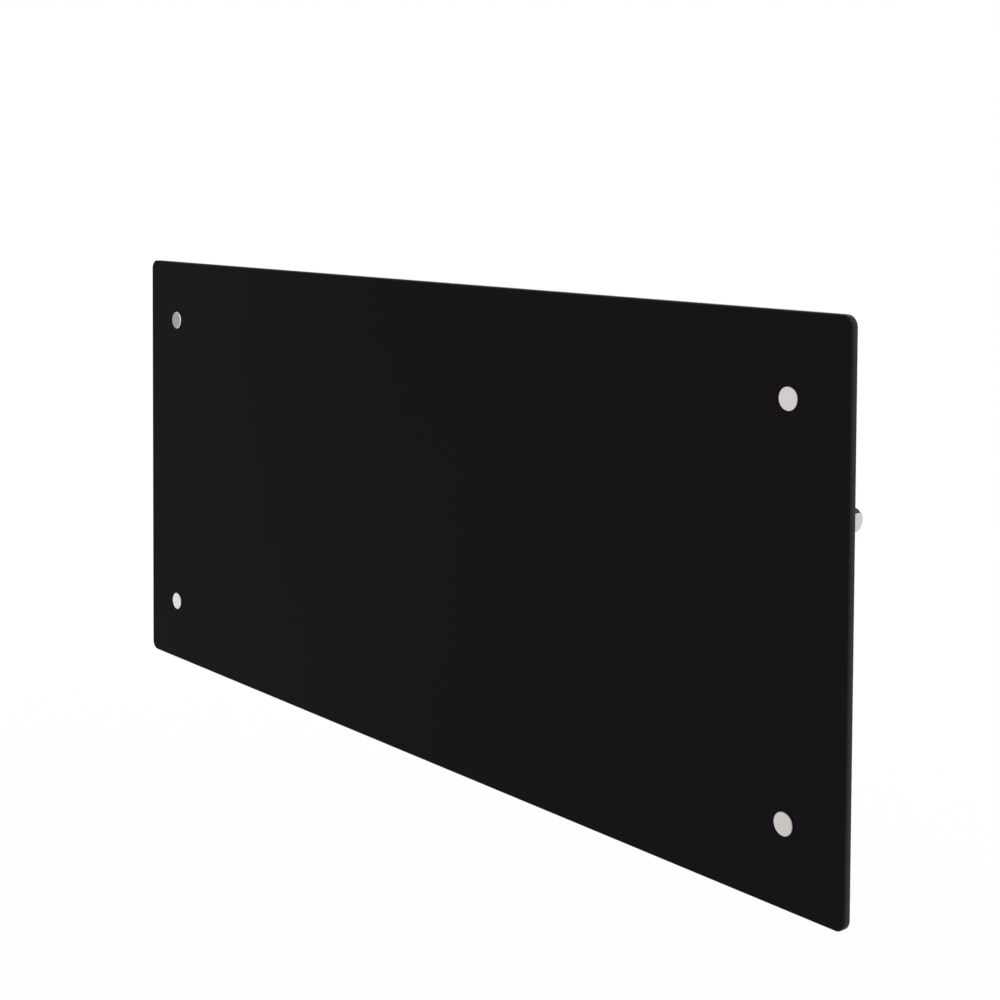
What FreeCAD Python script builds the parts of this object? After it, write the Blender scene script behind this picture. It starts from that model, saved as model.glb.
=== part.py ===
import FreeCAD, Part
import math
import os
import re
import Sketcher

# Wall-hung electric panel heater with a black glass front, in millimetres.
# X runs along the panel to the right, Y runs into the wall and Z runs up.
# The wall is the plane Y = 0, and the origin is the middle of the wall screw pattern.

Vector = FreeCAD.Vector
Rotation = FreeCAD.Rotation
Placement = FreeCAD.Placement

SIZES = {
    # toughened glass front
    "glass_width": 770,
    "glass_height": 340,
    "glass_thick": 5,
    "glass_corner": 7,
    "glass_arris": 0.6,
    "glass_hole": 11,
    # fixing points of the glass
    "stud_inset_x": 44,
    "stud_inset_z": 49.5,
    "stud_dia": 6,
    "stud_past_nut": 1.5,
    "cap_dia": 14,
    "cap_head": 1.0,
    "cap_bevel": 0.3,
    "front_washer_dia": 13,
    "front_washer_thick": 0.4,
    "rear_washer_dia": 16,
    "rear_washer_thick": 1.5,
    "nut_across": 10,
    "nut_height": 5,
    "hole_clear": 0.15,
    # depths from the wall to the glass
    "wall_gap": 22,
    "rear_depth": 17.5,
    "front_depth": 28,
    "glass_gap": 12.5,
    # steel casing
    "case_inset": 63,
    "case_drop": 30,
    "sheet": 1,
    "bend_radius": 3,
    "return_flange": 12,
    "pan_rim": 15,
    "pan_slope": 12,
    "pan_corner": 12,
    "pan_round": 5,
    "pan_wall_slant": 1.3,
    "bead_radius": 14,
    "bead_depth": 2.5,
    "bead_length": 220,
    "bead_pitch": 36,
    # plastic end caps
    "end_cap_width": 28,
    "end_cap_wall": 2.5,
    "end_cap_round": 2.5,
    "lip_length": 8,
    "lip_wall": 2,
    "lip_clear": 0.2,
    "vent_width": 3,
    "vent_length": 14,
    "vent_pitch": 7,
    # air grilles
    "grille_end_gap": 34,
    "grille_depth": 15,
    "grille_flange": 3,
    "grille_thick": 1.5,
    "grille_clear": 0.3,
    "slot_width": 3.4,
    "slot_pitch": 6.8,
    "slot_margin": 1.2,
    # sheet steel carriers of the glass
    "carrier_sheet": 1.5,
    "carrier_foot": 24,
    "carrier_past_stud": 10,
    "carrier_past_end": 18,
    "carrier_screw_inset": 14.4,
    "outer_screw_share": 0.9,
    "inner_screw_share": 0.35,
    # screws and rivets
    "screw_dia": 3.8,
    "screw_head_dia": 7,
    "screw_head": 2.3,
    "screw_length": 7,
    "recess_reach": 1.9,
    "recess_half_width": 0.5,
    "recess_depth": 1.2,
    "rivet_dia": 3,
    "rivet_head_dia": 5.6,
    "rivet_head": 1,
    "small_rivet_head_dia": 4.8,
    "head_crown_share": 0.55,
    "head_top_share": 0.72,
    # wall bracket
    "rail_end_inset": 5,
    "rail_width": 30,
    "rail_thick": 2,
    "rail_corner": 4,
    "rail_spacing": 150,
    "wall_slot_spacing": 300,
    "wall_slot_length": 16,
    "wall_slot_width": 6.5,
    "upright_spacing": 400,
    "upright_width": 40,
    "upright_sheet": 2,
    "inner_bend": 1,
    "upright_reach": 20,
    "upright_end_drop": 25,
    "hook_rise": 8,
    "hook_lip": 3.2,
    # hangers on the casing
    "hang_drop": 45,
    "hang_out": 11,
    "pin_dia": 6,
    "pin_run_clear": 0.06,
    "pin_past": 1.5,
    "hanger_side_gap": 3,
    "hanger_height": 24,
    "hanger_sheet": 1.5,
    "hanger_eye": 10,
    "bumper_width": 46,
    "bumper_height": 14,
    "bumper_rise": 50,
    # heating element
    "element_set": 14,
    "element_drop": 60,
    "element_end_gap": 35,
    "fin_reach": 15,
    "fin_thick": 1.8,
    "core_dia": 9,
    "terminal_dia": 4,
    "terminal_length": 16,
    "bush_dia": 16,
    "bush_length": 12,
    "bush_inset": 4,
    "support_reach": 12,
    "support_foot": 12,
    "support_height": 30,
    # overheat cut-out
    "cutout_from_shield": 110,
    "cutout_above": 45,
    "cutout_dia": 15.5,
    "cutout_height": 9,
    "cutout_plate_thick": 0.8,
    "cutout_plate_height": 26,
    "cutout_cover": 18,
    "cutout_cover_height": 12,
    # electronics bay
    "bay_length": 76,
    "shield_foot": 11,
    "shield_rivet_share": 0.7,
    "element_shield_gap": 6,
    "grommet_hole": 9,
    "grommet_thick": 4,
    "lead_dia": 3,
    "lead_bend": 6,
    "low_lead_drop": 25,
    "clip_length": 8,
    "clip_height": 9,
    "board_thick": 1.6,
    "board_gap": 8,
    "board_width": 46,
    "board_height": 100,
    "board_from_shield": 16,
    "board_drop": 52,
    "spacer_dia": 6,
    "spacer_inset": 4.5,
    "board_screw_dia": 3,
    "board_screw_head_dia": 5.4,
    "relay_width": 19,
    "relay_depth": 15,
    "relay_height": 15.5,
    "supply_width": 26,
    "supply_depth": 14,
    "supply_height": 22,
    "capacitor_dia": 10,
    "capacitor_height": 13,
    "block_width": 33,
    "block_depth": 11,
    "block_height": 10,
    # control knob and its encoder
    "knob_rise": 191.5,
    "knob_set": 14,
    "knob_dia": 14,
    "knob_length": 12.1,
    "knob_gap": 1,
    "knob_round": 0.6,
    "knob_recess_dia": 11.8,
    "knob_recess": 3,
    "index_rise": 3.7,
    "index_depth": 3,
    "index_sink": 0.9,
    "index_clear": 0.03,
    "shaft_dia": 6,
    "shaft_run_clear": 0.05,
    "shaft_in_knob": 10,
    "encoder_side": 12.5,
    "encoder_depth": 6.5,
    "encoder_floor": 0.8,
    "bush_thread_dia": 8,
    "bush_past_wall": 2.2,
    "encoder_nut_across": 10,
    "encoder_nut_height": 1.9,
    "plunger_height": 0.9,
    "press_travel": 0.6,
    "press_slack": 0.1,
    "control_board_depth": 19,
    "control_board_above": 20,
    "control_board_below": 30,
    # mains rocker switch
    "switch_below": 62,
    "switch_bezel_height": 22,
    "switch_bezel_depth": 15.6,
    "switch_bezel": 2,
    "switch_body_height": 19.2,
    "switch_body_depth": 12.6,
    "switch_body_length": 15,
    "switch_tab_width": 4.8,
    "switch_tab_thick": 0.8,
    "switch_tab_length": 8,
    "switch_tab_spacing": 10,
    "rocker_length": 14.4,
    "rocker_width": 9,
    "rocker_gap": 0.3,
    "rocker_pivot_depth": 3,
    "rocker_crown": 5.6,
    "rocker_dip": 1.6,
    "rocker_sweep": 1.1,
    "rocker_boss_dia": 6,
    "rocker_pin_dia": 2.2,
    "rocker_angle": 8,
    # cord gland and room sensor
    "gland_bore": 7.4,
    "gland_thread_dia": 12,
    "gland_flange_dia": 18,
    "gland_flange": 7,
    "gland_nose_dia": 14,
    "gland_nose_share": 0.55,
    "gland_inside": 12,
    "gland_nut_across": 16,
    "gland_nut_height": 4,
    "sensor_rise": 22,
    "sensor_dia": 3,
    "sensor_length": 14,
    "sensor_holder_height": 10,
    "sensor_holder_width": 5,
    "sensor_lead_gap": 1.7,
    "sensor_lead_dia": 1,
}

# Places worked out from the sizes, each written once and used by every piece that meets there.
PLACES = {
    "stud_x": "glass_width / 2 - stud_inset_x",
    "stud_z": "glass_height / 2 - stud_inset_z",
    "y_back": "-wall_gap",
    "y_seam": "-wall_gap - rear_depth",
    "y_front": "y_seam - front_depth",
    "y_inside": "y_front + sheet",
    "y_glass_back": "y_front - glass_gap",
    "y_glass_front": "y_glass_back - glass_thick",
    "case_x": "glass_width / 2 - case_inset",
    "case_z": "glass_height / 2 - case_drop",
    "end_x": "case_x + end_cap_width",
    "end_inside_x": "end_x - end_cap_wall",
    "y_carrier": "y_glass_back + rear_washer_thick",
    "pan_x": "case_x - pan_rim",
    "pan_z": "case_z - pan_rim",
    "upright_x": "upright_spacing / 2",
    "rail_x": "upright_x + upright_width / 2 - rail_end_inset",
    "hang_z": "case_z - hang_drop",
    "hang_y": "-wall_gap + hang_out",
    "upright_top": "hang_z + hook_rise",
    "upright_bottom": "-(case_z - upright_end_drop)",
    "hanger_half": "upright_width / 2 - upright_sheet - hanger_side_gap",
    "shield_x": "case_x - bay_length",
    "element_y": "y_front + element_set",
    "element_z": "board_z - element_drop",
    "core_left": "-(case_x - element_end_gap)",
    "core_right": "shield_x - terminal_length - element_shield_gap",
    "low_lead_z": "element_z - low_lead_drop",
    "cutout_x": "shield_x - cutout_from_shield",
    "cutout_z": "element_z + cutout_above",
    "board_x": "shield_x + board_from_shield",
    "board_z": "knob_z - board_drop",
    "board_y": "y_inside + board_gap",
    "board_back": "board_y + board_thick",
    "block_x": "board_x + spacer_inset / 2",
    "block_z": "board_z - board_height / 2 + spacer_inset",
    "knob_y": "y_front + knob_set",
    "knob_z": "-(case_z) + knob_rise",
    "knob_x": "end_x + knob_gap",
    "knob_face_x": "knob_x + knob_length",
    "encoder_x": "end_inside_x - encoder_depth",
    "control_board_x": "encoder_x - board_thick",
    "plunger_x": "encoder_x + encoder_floor + press_travel + press_slack",
    "shaft_x": "plunger_x + plunger_height + press_slack",
    "switch_z": "knob_z - switch_below",
    "switch_back": "end_x - switch_body_length",
    "rocker_x": "end_x - rocker_pivot_depth",
    "gland_x": "case_x + end_cap_width / 2",
    "sensor_y": "knob_y - switch_body_depth / 2 - sensor_lead_gap",
    "sensor_x": "control_board_x + board_thick / 2",
    "sensor_z": "-(case_z - sensor_rise)",
}

doc = FreeCAD.newDocument("panel_heater")
sheet = doc.addObject("Spreadsheet::Sheet", "Sizes")
for row, (name, number) in enumerate(SIZES.items(), start=1):
    sheet.set(f"A{row}", name)
    sheet.set(f"B{row}", str(number))
    sheet.setAlias(f"B{row}", name)
doc.recompute()


def formula(text):
    """Write a formula of size and place names as an expression on the sheet."""
    def word(found):
        name = found.group(0)
        if name in PLACES:
            return "(" + formula(PLACES[name]) + ")"
        return f"Sizes.{name}" if name in SIZES else name
    return re.sub(r"[a-z][a-z_]*[a-z]|[a-z]", word, str(text))


def value(text):
    return float(sheet.evalExpression(formula(text)))


def bind(item, prop, text):
    item.setExpression(prop, formula(text))


def place(item, x, y, z):
    for axis, text in zip("xyz", (x, y, z)):
        bind(item, f"Placement.Base.{axis}", text)


# Primitive solids and booleans, for pieces that are cut from plain stock

AXES = {
    "+x": Rotation(Vector(0, 1, 0), 90),
    "+y": Rotation(Vector(1, 0, 0), -90),
    "-y": Rotation(Vector(1, 0, 0), 90),
    "+z": Rotation(),
    "-z": Rotation(Vector(1, 0, 0), 180),
}


def box(label, low, size):
    item = doc.addObject("Part::Box", label)
    for prop, text in zip(("Length", "Width", "Height"), size):
        bind(item, prop, text)
    place(item, *low)
    return item


def rod(label, axis, start, radius, length):
    item = doc.addObject("Part::Cylinder", label)
    item.Placement = Placement(Vector(), AXES[axis])
    bind(item, "Radius", radius)
    bind(item, "Height", length)
    place(item, *start)
    return item


def fuse(label, pieces):
    item = doc.addObject("Part::MultiFuse", label)
    item.Shapes = pieces
    item.Refine = True
    return item


def cut(label, base, tools):
    item = doc.addObject("Part::Cut", label)
    item.Base = base
    item.Tool = tools[0] if len(tools) == 1 else fuse(label + "_tools", tools)
    return item


# Sketched bodies, for pieces that are bent, pressed, turned or moulded

def new_body(label):
    return doc.addObject("PartDesign::Body", label)


def sketch_on(body, role, level):
    """A sketch on one of the body's own planes, moved along the plane's normal."""
    plane = next(item for item in body.Origin.OriginFeatures if item.Role == role)
    sketch = body.newObject("Sketcher::SketchObject", body.Label + "_sketch")
    sketch.AttachmentSupport = [(plane, "")]
    sketch.MapMode = "FlatFace"
    bind(sketch, "AttachmentOffset.Base.z", level)
    return sketch


def tie(sketch, kind, geometry, point, text):
    index = sketch.addConstraint(Sketcher.Constraint(kind, -1, 1, geometry, point, value(text)))
    bind(sketch, f"Constraints[{index}]", text)


def add_loop(sketch, corners):
    """A closed outline of straight lines, with each corner tied to the sheet."""
    points = [Vector(value(a), value(b), 0) for a, b in corners]
    first = sketch.GeometryCount
    for start, end in zip(points, points[1:] + points[:1]):
        sketch.addGeometry(Part.LineSegment(start, end))
    for step, (a, b) in enumerate(corners):
        following = first + (step + 1) % len(corners)
        sketch.addConstraint(Sketcher.Constraint("Coincident", first + step, 2, following, 1))
        tie(sketch, "DistanceX", first + step, 1, a)
        tie(sketch, "DistanceY", first + step, 1, b)


def add_rectangle(sketch, left, right, low, high):
    add_loop(sketch, [(left, low), (right, low), (right, high), (left, high)])


def add_circle(sketch, a, b, radius):
    index = sketch.addGeometry(Part.Circle(Vector(value(a), value(b), 0), Vector(0, 0, 1), value(radius)))
    tie(sketch, "DistanceX", index, 3, a)
    tie(sketch, "DistanceY", index, 3, b)
    size = sketch.addConstraint(Sketcher.Constraint("Radius", index, value(radius)))
    bind(sketch, f"Constraints[{size}]", radius)


def pad(body, sketch, length):
    """Material along the sketch's normal: +X from YZ, -Y from XZ, +Z from XY."""
    feature = body.newObject("PartDesign::Pad", body.Label + "_pad")
    feature.Profile = sketch
    bind(feature, "Length", length)
    body.Tip = feature
    return feature


def pocket(body, sketch, length):
    """A cut against the sketch's normal: -X from YZ, +Y from XZ, -Z from XY."""
    doc.recompute()
    before = body.Shape.Volume
    feature = body.newObject("PartDesign::Pocket", body.Label + "_pocket")
    feature.Profile = sketch
    bind(feature, "Length", length)
    body.Tip = feature
    doc.recompute()
    if not body.Shape.Volume < before - NEAR:
        raise RuntimeError(f"a pocket of {body.Label} cuts nothing")
    return feature


def wedge(body, kind, near, near_x, near_z, far, far_x, far_z):
    """A pan shape between two rectangles across Y, as material or as a cut."""
    feature = body.newObject(kind, body.Label + "_wedge")
    limits = {"Ymin": near, "Ymax": far, "Xmin": f"-({near_x})", "Xmax": near_x,
              "Zmin": f"-({near_z})", "Zmax": near_z, "X2min": f"-({far_x})", "X2max": far_x,
              "Z2min": f"-({far_z})", "Z2max": far_z}
    for prop, text in limits.items():
        setattr(feature, prop, value(text))
        bind(feature, prop, text)
    body.Tip = feature
    return feature


def dress(body, kind, test, prop, size):
    """A fillet or chamfer on the edges that pass the test."""
    doc.recompute()
    base = body.Tip
    names = [f"Edge{number}" for number, edge in enumerate(base.Shape.Edges, start=1) if test(edge)]
    feature = body.newObject(kind, body.Label + "_dress")
    feature.Base = (base, names)
    bind(feature, prop, size)
    body.Tip = feature
    return feature


def round_edges(body, test, radius):
    return dress(body, "PartDesign::Fillet", test, "Radius", radius)


def bevel_edges(body, test, size):
    return dress(body, "PartDesign::Chamfer", test, "Size", size)


NEAR = 1e-4
SAMPLES = 5


def span(edge, axis):
    """The lowest and highest place of an edge along one axis."""
    places = [getattr(point, axis) for point in edge.discretize(SAMPLES)]
    return min(places), max(places)


def along(axis):
    """A test for straight edges that run along one axis."""
    def test(edge):
        moves = {name: span(edge, name)[1] - span(edge, name)[0] > NEAR for name in "xyz"}
        return all(moved == (name == axis) for name, moved in moves.items())
    return test


def flat_at(axis, text):
    """A test for edges that lie whole in the plane at one place along an axis."""
    level = value(text)
    return lambda edge: all(abs(limit - level) < NEAR for limit in span(edge, axis))


def crosses(axis):
    """A test for edges that rise along an axis at all."""
    return lambda edge: span(edge, axis)[1] - span(edge, axis)[0] > NEAR


def both(*tests):
    return lambda edge: all(test(edge) for test in tests)


def turned(label, profile):
    """A round piece along Z from a half profile of radius and height."""
    body = new_body(label)
    sketch = sketch_on(body, "XZ_Plane", "0")
    add_loop(sketch, profile)
    feature = body.newObject("PartDesign::Revolution", label + "_revolution")
    feature.Profile = sketch
    feature.ReferenceAxis = (sketch, ["V_Axis"])
    feature.Angle = 360
    body.Tip = feature
    return body


def ring_profile(inner, outer, height):
    return [(inner, "0"), (outer, "0"), (outer, height), (inner, height)]


def pin_profile(radius, height):
    return ring_profile("0", radius, height)


def headed_profile(head_radius, head, shank_radius, shank):
    """A head above the seat at height 0 and a shank below it."""
    crown = f"{head} * head_crown_share"
    shoulder = f"{head_radius} * head_top_share"
    return [("0", head), (shoulder, head), (head_radius, crown), (head_radius, "0"),
            (shank_radius, "0"), (shank_radius, f"-({shank})"), ("0", f"-({shank})")]


def hexagon(label, across, bore, height):
    """A hexagon nut along Z with its seat at height 0."""
    body = new_body(label)
    sketch = sketch_on(body, "XY_Plane", "0")
    half = f"{across} / 2"
    corner = f"{across} / sqrt(3)"
    add_loop(sketch, [(corner, "0"), (f"{corner} / 2", half), (f"-{corner} / 2", half),
                      (f"-{corner}", "0"), (f"-{corner} / 2", f"-{half}"), (f"{corner} / 2", f"-{half}")])
    add_circle(sketch, "0", "0", bore)
    pad(body, sketch, height)
    return body


def group(label, master, axis, places):
    """Like pieces of one node: copies of a master piece, each turned along an axis."""
    doc.recompute()
    copies = []
    for spot in places:
        copy = master.Shape.copy()
        copy.Placement = Placement(Vector(*[value(text) for text in spot]), AXES[axis])
        copies.append(copy)
    item = doc.addObject("Part::Feature", label)
    item.Shape = Part.makeCompound(copies)
    item.Placement = Placement()
    return item


def together(label, groups):
    """Several groups of like pieces as one node."""
    item = doc.addObject("Part::Compound", label)
    item.Links = groups
    return item


NODES = []


def node(item):
    """Count an item as one finished sub-part of the heater."""
    NODES.append(item)
    return item


SIDES = (("left", -1), ("right", 1))
CORNERS = [(sx, sz) for sx in (-1, 1) for sz in (-1, 1)]

# Wall bracket: two rails on the wall, and two channel uprights with hooks riveted to them

RAILS = (("lower_rail", -1), ("upper_rail", 1))


def wall_rail(label, side):
    level = f"{side} * rail_spacing / 2"
    body = new_body(label)
    outline = sketch_on(body, "XZ_Plane", "0")
    add_rectangle(outline, "-(rail_x)", "rail_x",
                  f"{level} - rail_width / 2", f"{level} + rail_width / 2")
    pad(body, outline, "rail_thick")
    round_edges(body, along("y"), "rail_corner")
    straight = "(wall_slot_length - wall_slot_width) / 2"
    slots = sketch_on(body, "XZ_Plane", "rail_thick")
    ends = sketch_on(body, "XZ_Plane", "rail_thick")
    rivets = sketch_on(body, "XZ_Plane", "rail_thick")
    for _, hand in SIDES:
        middle = f"{hand} * wall_slot_spacing / 2"
        add_rectangle(slots, f"{middle} - {straight}", f"{middle} + {straight}",
                      f"{level} - wall_slot_width / 2", f"{level} + wall_slot_width / 2")
        for end in (-1, 1):
            add_circle(ends, f"{middle} + {end} * {straight}", level, "wall_slot_width / 2")
            add_circle(rivets, f"{hand} * upright_x + {end} * upright_width / 4", level,
                       "rivet_dia / 2 + hole_clear")
    for sketch in (slots, ends, rivets):
        pocket(body, sketch, "rail_thick")
    return body


def upright(label, side):
    middle = f"{side} * upright_x"
    left, right = f"{middle} - upright_width / 2", f"{middle} + upright_width / 2"
    web_back, web_front = "-rail_thick", "-rail_thick - upright_sheet"
    body = new_body(label)
    channel = sketch_on(body, "XY_Plane", "upright_bottom")
    add_loop(channel, [(left, web_back), (right, web_back), (right, "-upright_reach"),
                       (f"{right} - upright_sheet", "-upright_reach"),
                       (f"{right} - upright_sheet", web_front),
                       (f"{left} + upright_sheet", web_front),
                       (f"{left} + upright_sheet", "-upright_reach"), (left, "-upright_reach")])
    pad(body, channel, "upright_top - upright_bottom")
    round_edges(body, both(along("z"), flat_at("y", web_back)), "inner_bend + upright_sheet")
    round_edges(body, both(along("z"), flat_at("y", web_front)), "inner_bend")
    seat = "(pin_dia / 2 + pin_run_clear)"
    throat = sketch_on(body, "YZ_Plane", right)
    add_rectangle(throat, f"hang_y - {seat}", f"hang_y + {seat}", "hang_z", "upright_top")
    pocket(body, throat, "upright_width")
    bowl = sketch_on(body, "YZ_Plane", right)
    add_circle(bowl, "hang_y", "hang_z", seat)
    pocket(body, bowl, "upright_width")
    lip = sketch_on(body, "YZ_Plane", right)
    add_rectangle(lip, "-upright_reach", f"hang_y - {seat} - hook_lip",
                  "hang_z - hook_rise", "upright_top")
    pocket(body, lip, "upright_width")
    rivets = sketch_on(body, "XZ_Plane", "rail_thick + upright_sheet")
    for _, level in RAILS:
        for end in (-1, 1):
            add_circle(rivets, f"{middle} + {end} * upright_width / 4", f"{level} * rail_spacing / 2",
                       "rivet_dia / 2 + hole_clear")
    pocket(body, rivets, "upright_sheet")
    return body


for label, side in RAILS:
    node(wall_rail(label, side))
for label, side in SIDES:
    node(upright(label + "_upright", side))

bracket_rivet = turned("bracket_rivet", headed_profile(
    "rivet_head_dia / 2", "rivet_head", "rivet_dia / 2", "rail_thick + upright_sheet - hole_clear"))
node(group("bracket_rivets", bracket_rivet, "-y", [
    (f"{sx} * upright_x + {end} * upright_width / 4", "-rail_thick - upright_sheet",
     f"{sz} * rail_spacing / 2")
    for sx, sz in CORNERS for end in (-1, 1)]))

# Glass front, held at four points by turned caps with a stud, washers, a bush and a nut

STUDS = [(f"{sx} * stud_x", f"{sz} * stud_z") for sx, sz in CORNERS]

glass = new_body("glass_panel")
pane = sketch_on(glass, "XZ_Plane", "-(y_glass_back)")
add_rectangle(pane, "-glass_width / 2", "glass_width / 2", "-glass_height / 2", "glass_height / 2")
pad(glass, pane, "glass_thick")
round_edges(glass, along("y"), "glass_corner")
bevel_edges(glass, lambda edge: not crosses("y")(edge), "glass_arris")
holes = sketch_on(glass, "XZ_Plane", "-(y_glass_front)")
for x, z in STUDS:
    add_circle(holes, x, z, "glass_hole / 2")
pocket(glass, holes, "glass_thick")
node(glass)

STUD_BORE = "stud_dia / 2 + hole_clear"
SEAT_TO_NUT = "front_washer_thick + glass_thick + rear_washer_thick + carrier_sheet"

cap = turned("glass_cap", [
    ("0", "cap_head"), ("cap_dia / 2 - cap_bevel", "cap_head"), ("cap_dia / 2", "cap_head - cap_bevel"),
    ("cap_dia / 2", "0"), ("stud_dia / 2", "0"),
    ("stud_dia / 2", f"-({SEAT_TO_NUT} + nut_height + stud_past_nut)"),
    ("0", f"-({SEAT_TO_NUT} + nut_height + stud_past_nut)")])
front_washer = turned("glass_front_washer", ring_profile(
    STUD_BORE, "front_washer_dia / 2", "front_washer_thick"))
glass_bush = turned("glass_bush", ring_profile(STUD_BORE, "glass_hole / 2 - hole_clear", "glass_thick"))
rear_washer = turned("glass_rear_washer", ring_profile(
    STUD_BORE, "rear_washer_dia / 2", "rear_washer_thick"))
glass_nut = hexagon("glass_nut", "nut_across", STUD_BORE, "nut_height")

STACK = (
    ("glass_caps", cap, "-y", "y_glass_front - front_washer_thick"),
    ("glass_front_washers", front_washer, "-y", "y_glass_front"),
    ("glass_bushes", glass_bush, "-y", "y_glass_back"),
    ("glass_rear_washers", rear_washer, "+y", "y_glass_back"),
    ("glass_nuts", glass_nut, "+y", "y_carrier + carrier_sheet"),
)
for label, master, axis, level in STACK:
    node(group(label, master, axis, [(x, level, z) for x, z in STUDS]))

# Carriers: a folded steel strip at each end takes the glass studs past the end of the casing

CARRIER_END = "stud_z + carrier_past_end"
CARRIER_SCREW_X = "case_x - carrier_screw_inset"
CARRIER_SCREW_LEVELS = ("-stud_z * outer_screw_share", "-stud_z * inner_screw_share",
                        "stud_z * inner_screw_share", "stud_z * outer_screw_share")
SCREW_HOLE = "screw_dia / 2 + hole_clear"


def glass_carrier(label, side):
    def at(text):
        return f"{side} * ({text})"
    body = new_body(label)
    fold = sketch_on(body, "XY_Plane", f"-({CARRIER_END})")
    add_loop(fold, [
        (at("case_x - carrier_foot"), "y_front"), (at("case_x"), "y_front"),
        (at("case_x"), "y_carrier + carrier_sheet"),
        (at("stud_x + carrier_past_stud"), "y_carrier + carrier_sheet"),
        (at("stud_x + carrier_past_stud"), "y_carrier"), (at("case_x - carrier_sheet"), "y_carrier"),
        (at("case_x - carrier_sheet"), "y_front - carrier_sheet"),
        (at("case_x - carrier_foot"), "y_front - carrier_sheet")])
    pad(body, fold, f"2 * ({CARRIER_END})")
    outer, inner = at("case_x"), at("case_x - carrier_sheet")
    for x, y, radius in ((outer, "y_front", "inner_bend + carrier_sheet"),
                         (outer, "y_carrier + carrier_sheet", "inner_bend"),
                         (inner, "y_carrier", "inner_bend + carrier_sheet"),
                         (inner, "y_front - carrier_sheet", "inner_bend")):
        round_edges(body, both(along("z"), flat_at("x", x), flat_at("y", y)), radius)
    studs = sketch_on(body, "XZ_Plane", "-(y_carrier)")
    for level in ("-stud_z", "stud_z"):
        add_circle(studs, at("stud_x"), level, STUD_BORE)
    pocket(body, studs, "carrier_sheet")
    screws = sketch_on(body, "XZ_Plane", "-(y_front) + carrier_sheet")
    for level in CARRIER_SCREW_LEVELS:
        add_circle(screws, at(CARRIER_SCREW_X), level, SCREW_HOLE)
    pocket(body, screws, "carrier_sheet")
    return body


for label, side in SIDES:
    node(glass_carrier(label + "_glass_carrier", side))

screw = turned("screw", headed_profile(
    "screw_head_dia / 2", "screw_head", "screw_dia / 2", "screw_length"))
cross = sketch_on(screw, "XY_Plane", "screw_head")
arm, half = "recess_reach", "recess_half_width"
add_loop(cross, [
    (arm, f"-{half}"), (arm, half), (half, half), (half, arm), (f"-{half}", arm), (f"-{half}", half),
    (f"-{arm}", half), (f"-{arm}", f"-{half}"), (f"-{half}", f"-{half}"), (f"-{half}", f"-{arm}"),
    (half, f"-{arm}"), (half, f"-{half}")])
pocket(screw, cross, "recess_depth")
carrier_screws = group("carrier_screws", screw, "-y", [
    (f"{side} * ({CARRIER_SCREW_X})", "y_front - carrier_sheet", level)
    for _, side in SIDES for level in CARRIER_SCREW_LEVELS])

# Front shell: a folded steel channel that is open at both ends, with windows for the air grilles

COVER_SCREW_Z = "case_z - (return_flange + bend_radius) / 2"
COVER_SCREW_X = [f"{step} * (case_x - pan_rim) / 2" for step in (-2, -1, 0, 1, 2)]
END_SCREW_X = "case_x - lip_length / 2"
GRILLE_X = "case_x - grille_end_gap"
GRILLE_Y = ("knob_y - grille_depth / 2", "knob_y + grille_depth / 2")
SUPPORT_SIDES = (("left", -1, "core_left + bush_inset + bush_length / 2"),
                 ("right", 1, "core_right - bush_inset - bush_length / 2"))
SUPPORT_RIVETS = [
    (f"{middle} + {side} * (carrier_sheet + support_foot) / 2", f"element_z + {end} * support_height / 4")
    for _, side, middle in SUPPORT_SIDES for end in (-1, 1)]
SHIELD_RIVETS = [("shield_x + sheet + shield_foot / 2", f"{step} * pan_z * shield_rivet_share")
                 for step in (-1, 0, 1)]
BOARD_SCREWS = [(f"board_x + board_width / 2 + {sx} * (board_width / 2 - spacer_inset)",
                 f"board_z + {sz} * (board_height / 2 - spacer_inset)") for sx, sz in CORNERS]
BOARD_HOLE = "board_screw_dia / 2 + hole_clear"
RIVET_HOLE = "rivet_dia / 2 + hole_clear"
CUTOUT_RIVETS = [("cutout_x", f"cutout_z + {end} * (cutout_plate_height + cutout_dia) / 4")
                 for end in (-1, 1)]

front = new_body("front_shell")
channel = sketch_on(front, "YZ_Plane", "-(case_x)")
add_loop(channel, [
    ("y_seam", "case_z - return_flange"), ("y_seam", "case_z"), ("y_front", "case_z"),
    ("y_front", "-(case_z)"), ("y_seam", "-(case_z)"), ("y_seam", "-(case_z - return_flange)"),
    ("y_seam - sheet", "-(case_z - return_flange)"), ("y_seam - sheet", "-(case_z - sheet)"),
    ("y_inside", "-(case_z - sheet)"), ("y_inside", "case_z - sheet"),
    ("y_seam - sheet", "case_z - sheet"), ("y_seam - sheet", "case_z - return_flange")])
pad(front, channel, "2 * (case_x)")
for level, radius in (("case_z", "bend_radius"), ("case_z - sheet", "bend_radius - sheet")):
    round_edges(front, lambda edge: along("x")(edge) and (
        flat_at("z", level)(edge) or flat_at("z", f"-({level})")(edge)), radius)
for top, size in (("case_z", "sheet"), ("-(case_z - sheet)", "sheet")):
    window = sketch_on(front, "XY_Plane", top)
    add_rectangle(window, f"-({GRILLE_X})", GRILLE_X, *GRILLE_Y)
    pocket(front, window, size)
    ends = sketch_on(front, "XY_Plane", top)
    for _, side in SIDES:
        add_circle(ends, f"{side} * ({END_SCREW_X})", "knob_y", SCREW_HOLE)
    pocket(front, ends, size)
wall_holes = sketch_on(front, "XZ_Plane", "-(y_front)")
for side in (-1, 1):
    for level in CARRIER_SCREW_LEVELS:
        add_circle(wall_holes, f"{side} * ({CARRIER_SCREW_X})", level, SCREW_HOLE)
for x, z in SUPPORT_RIVETS + SHIELD_RIVETS + CUTOUT_RIVETS:
    add_circle(wall_holes, x, z, RIVET_HOLE)
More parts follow.
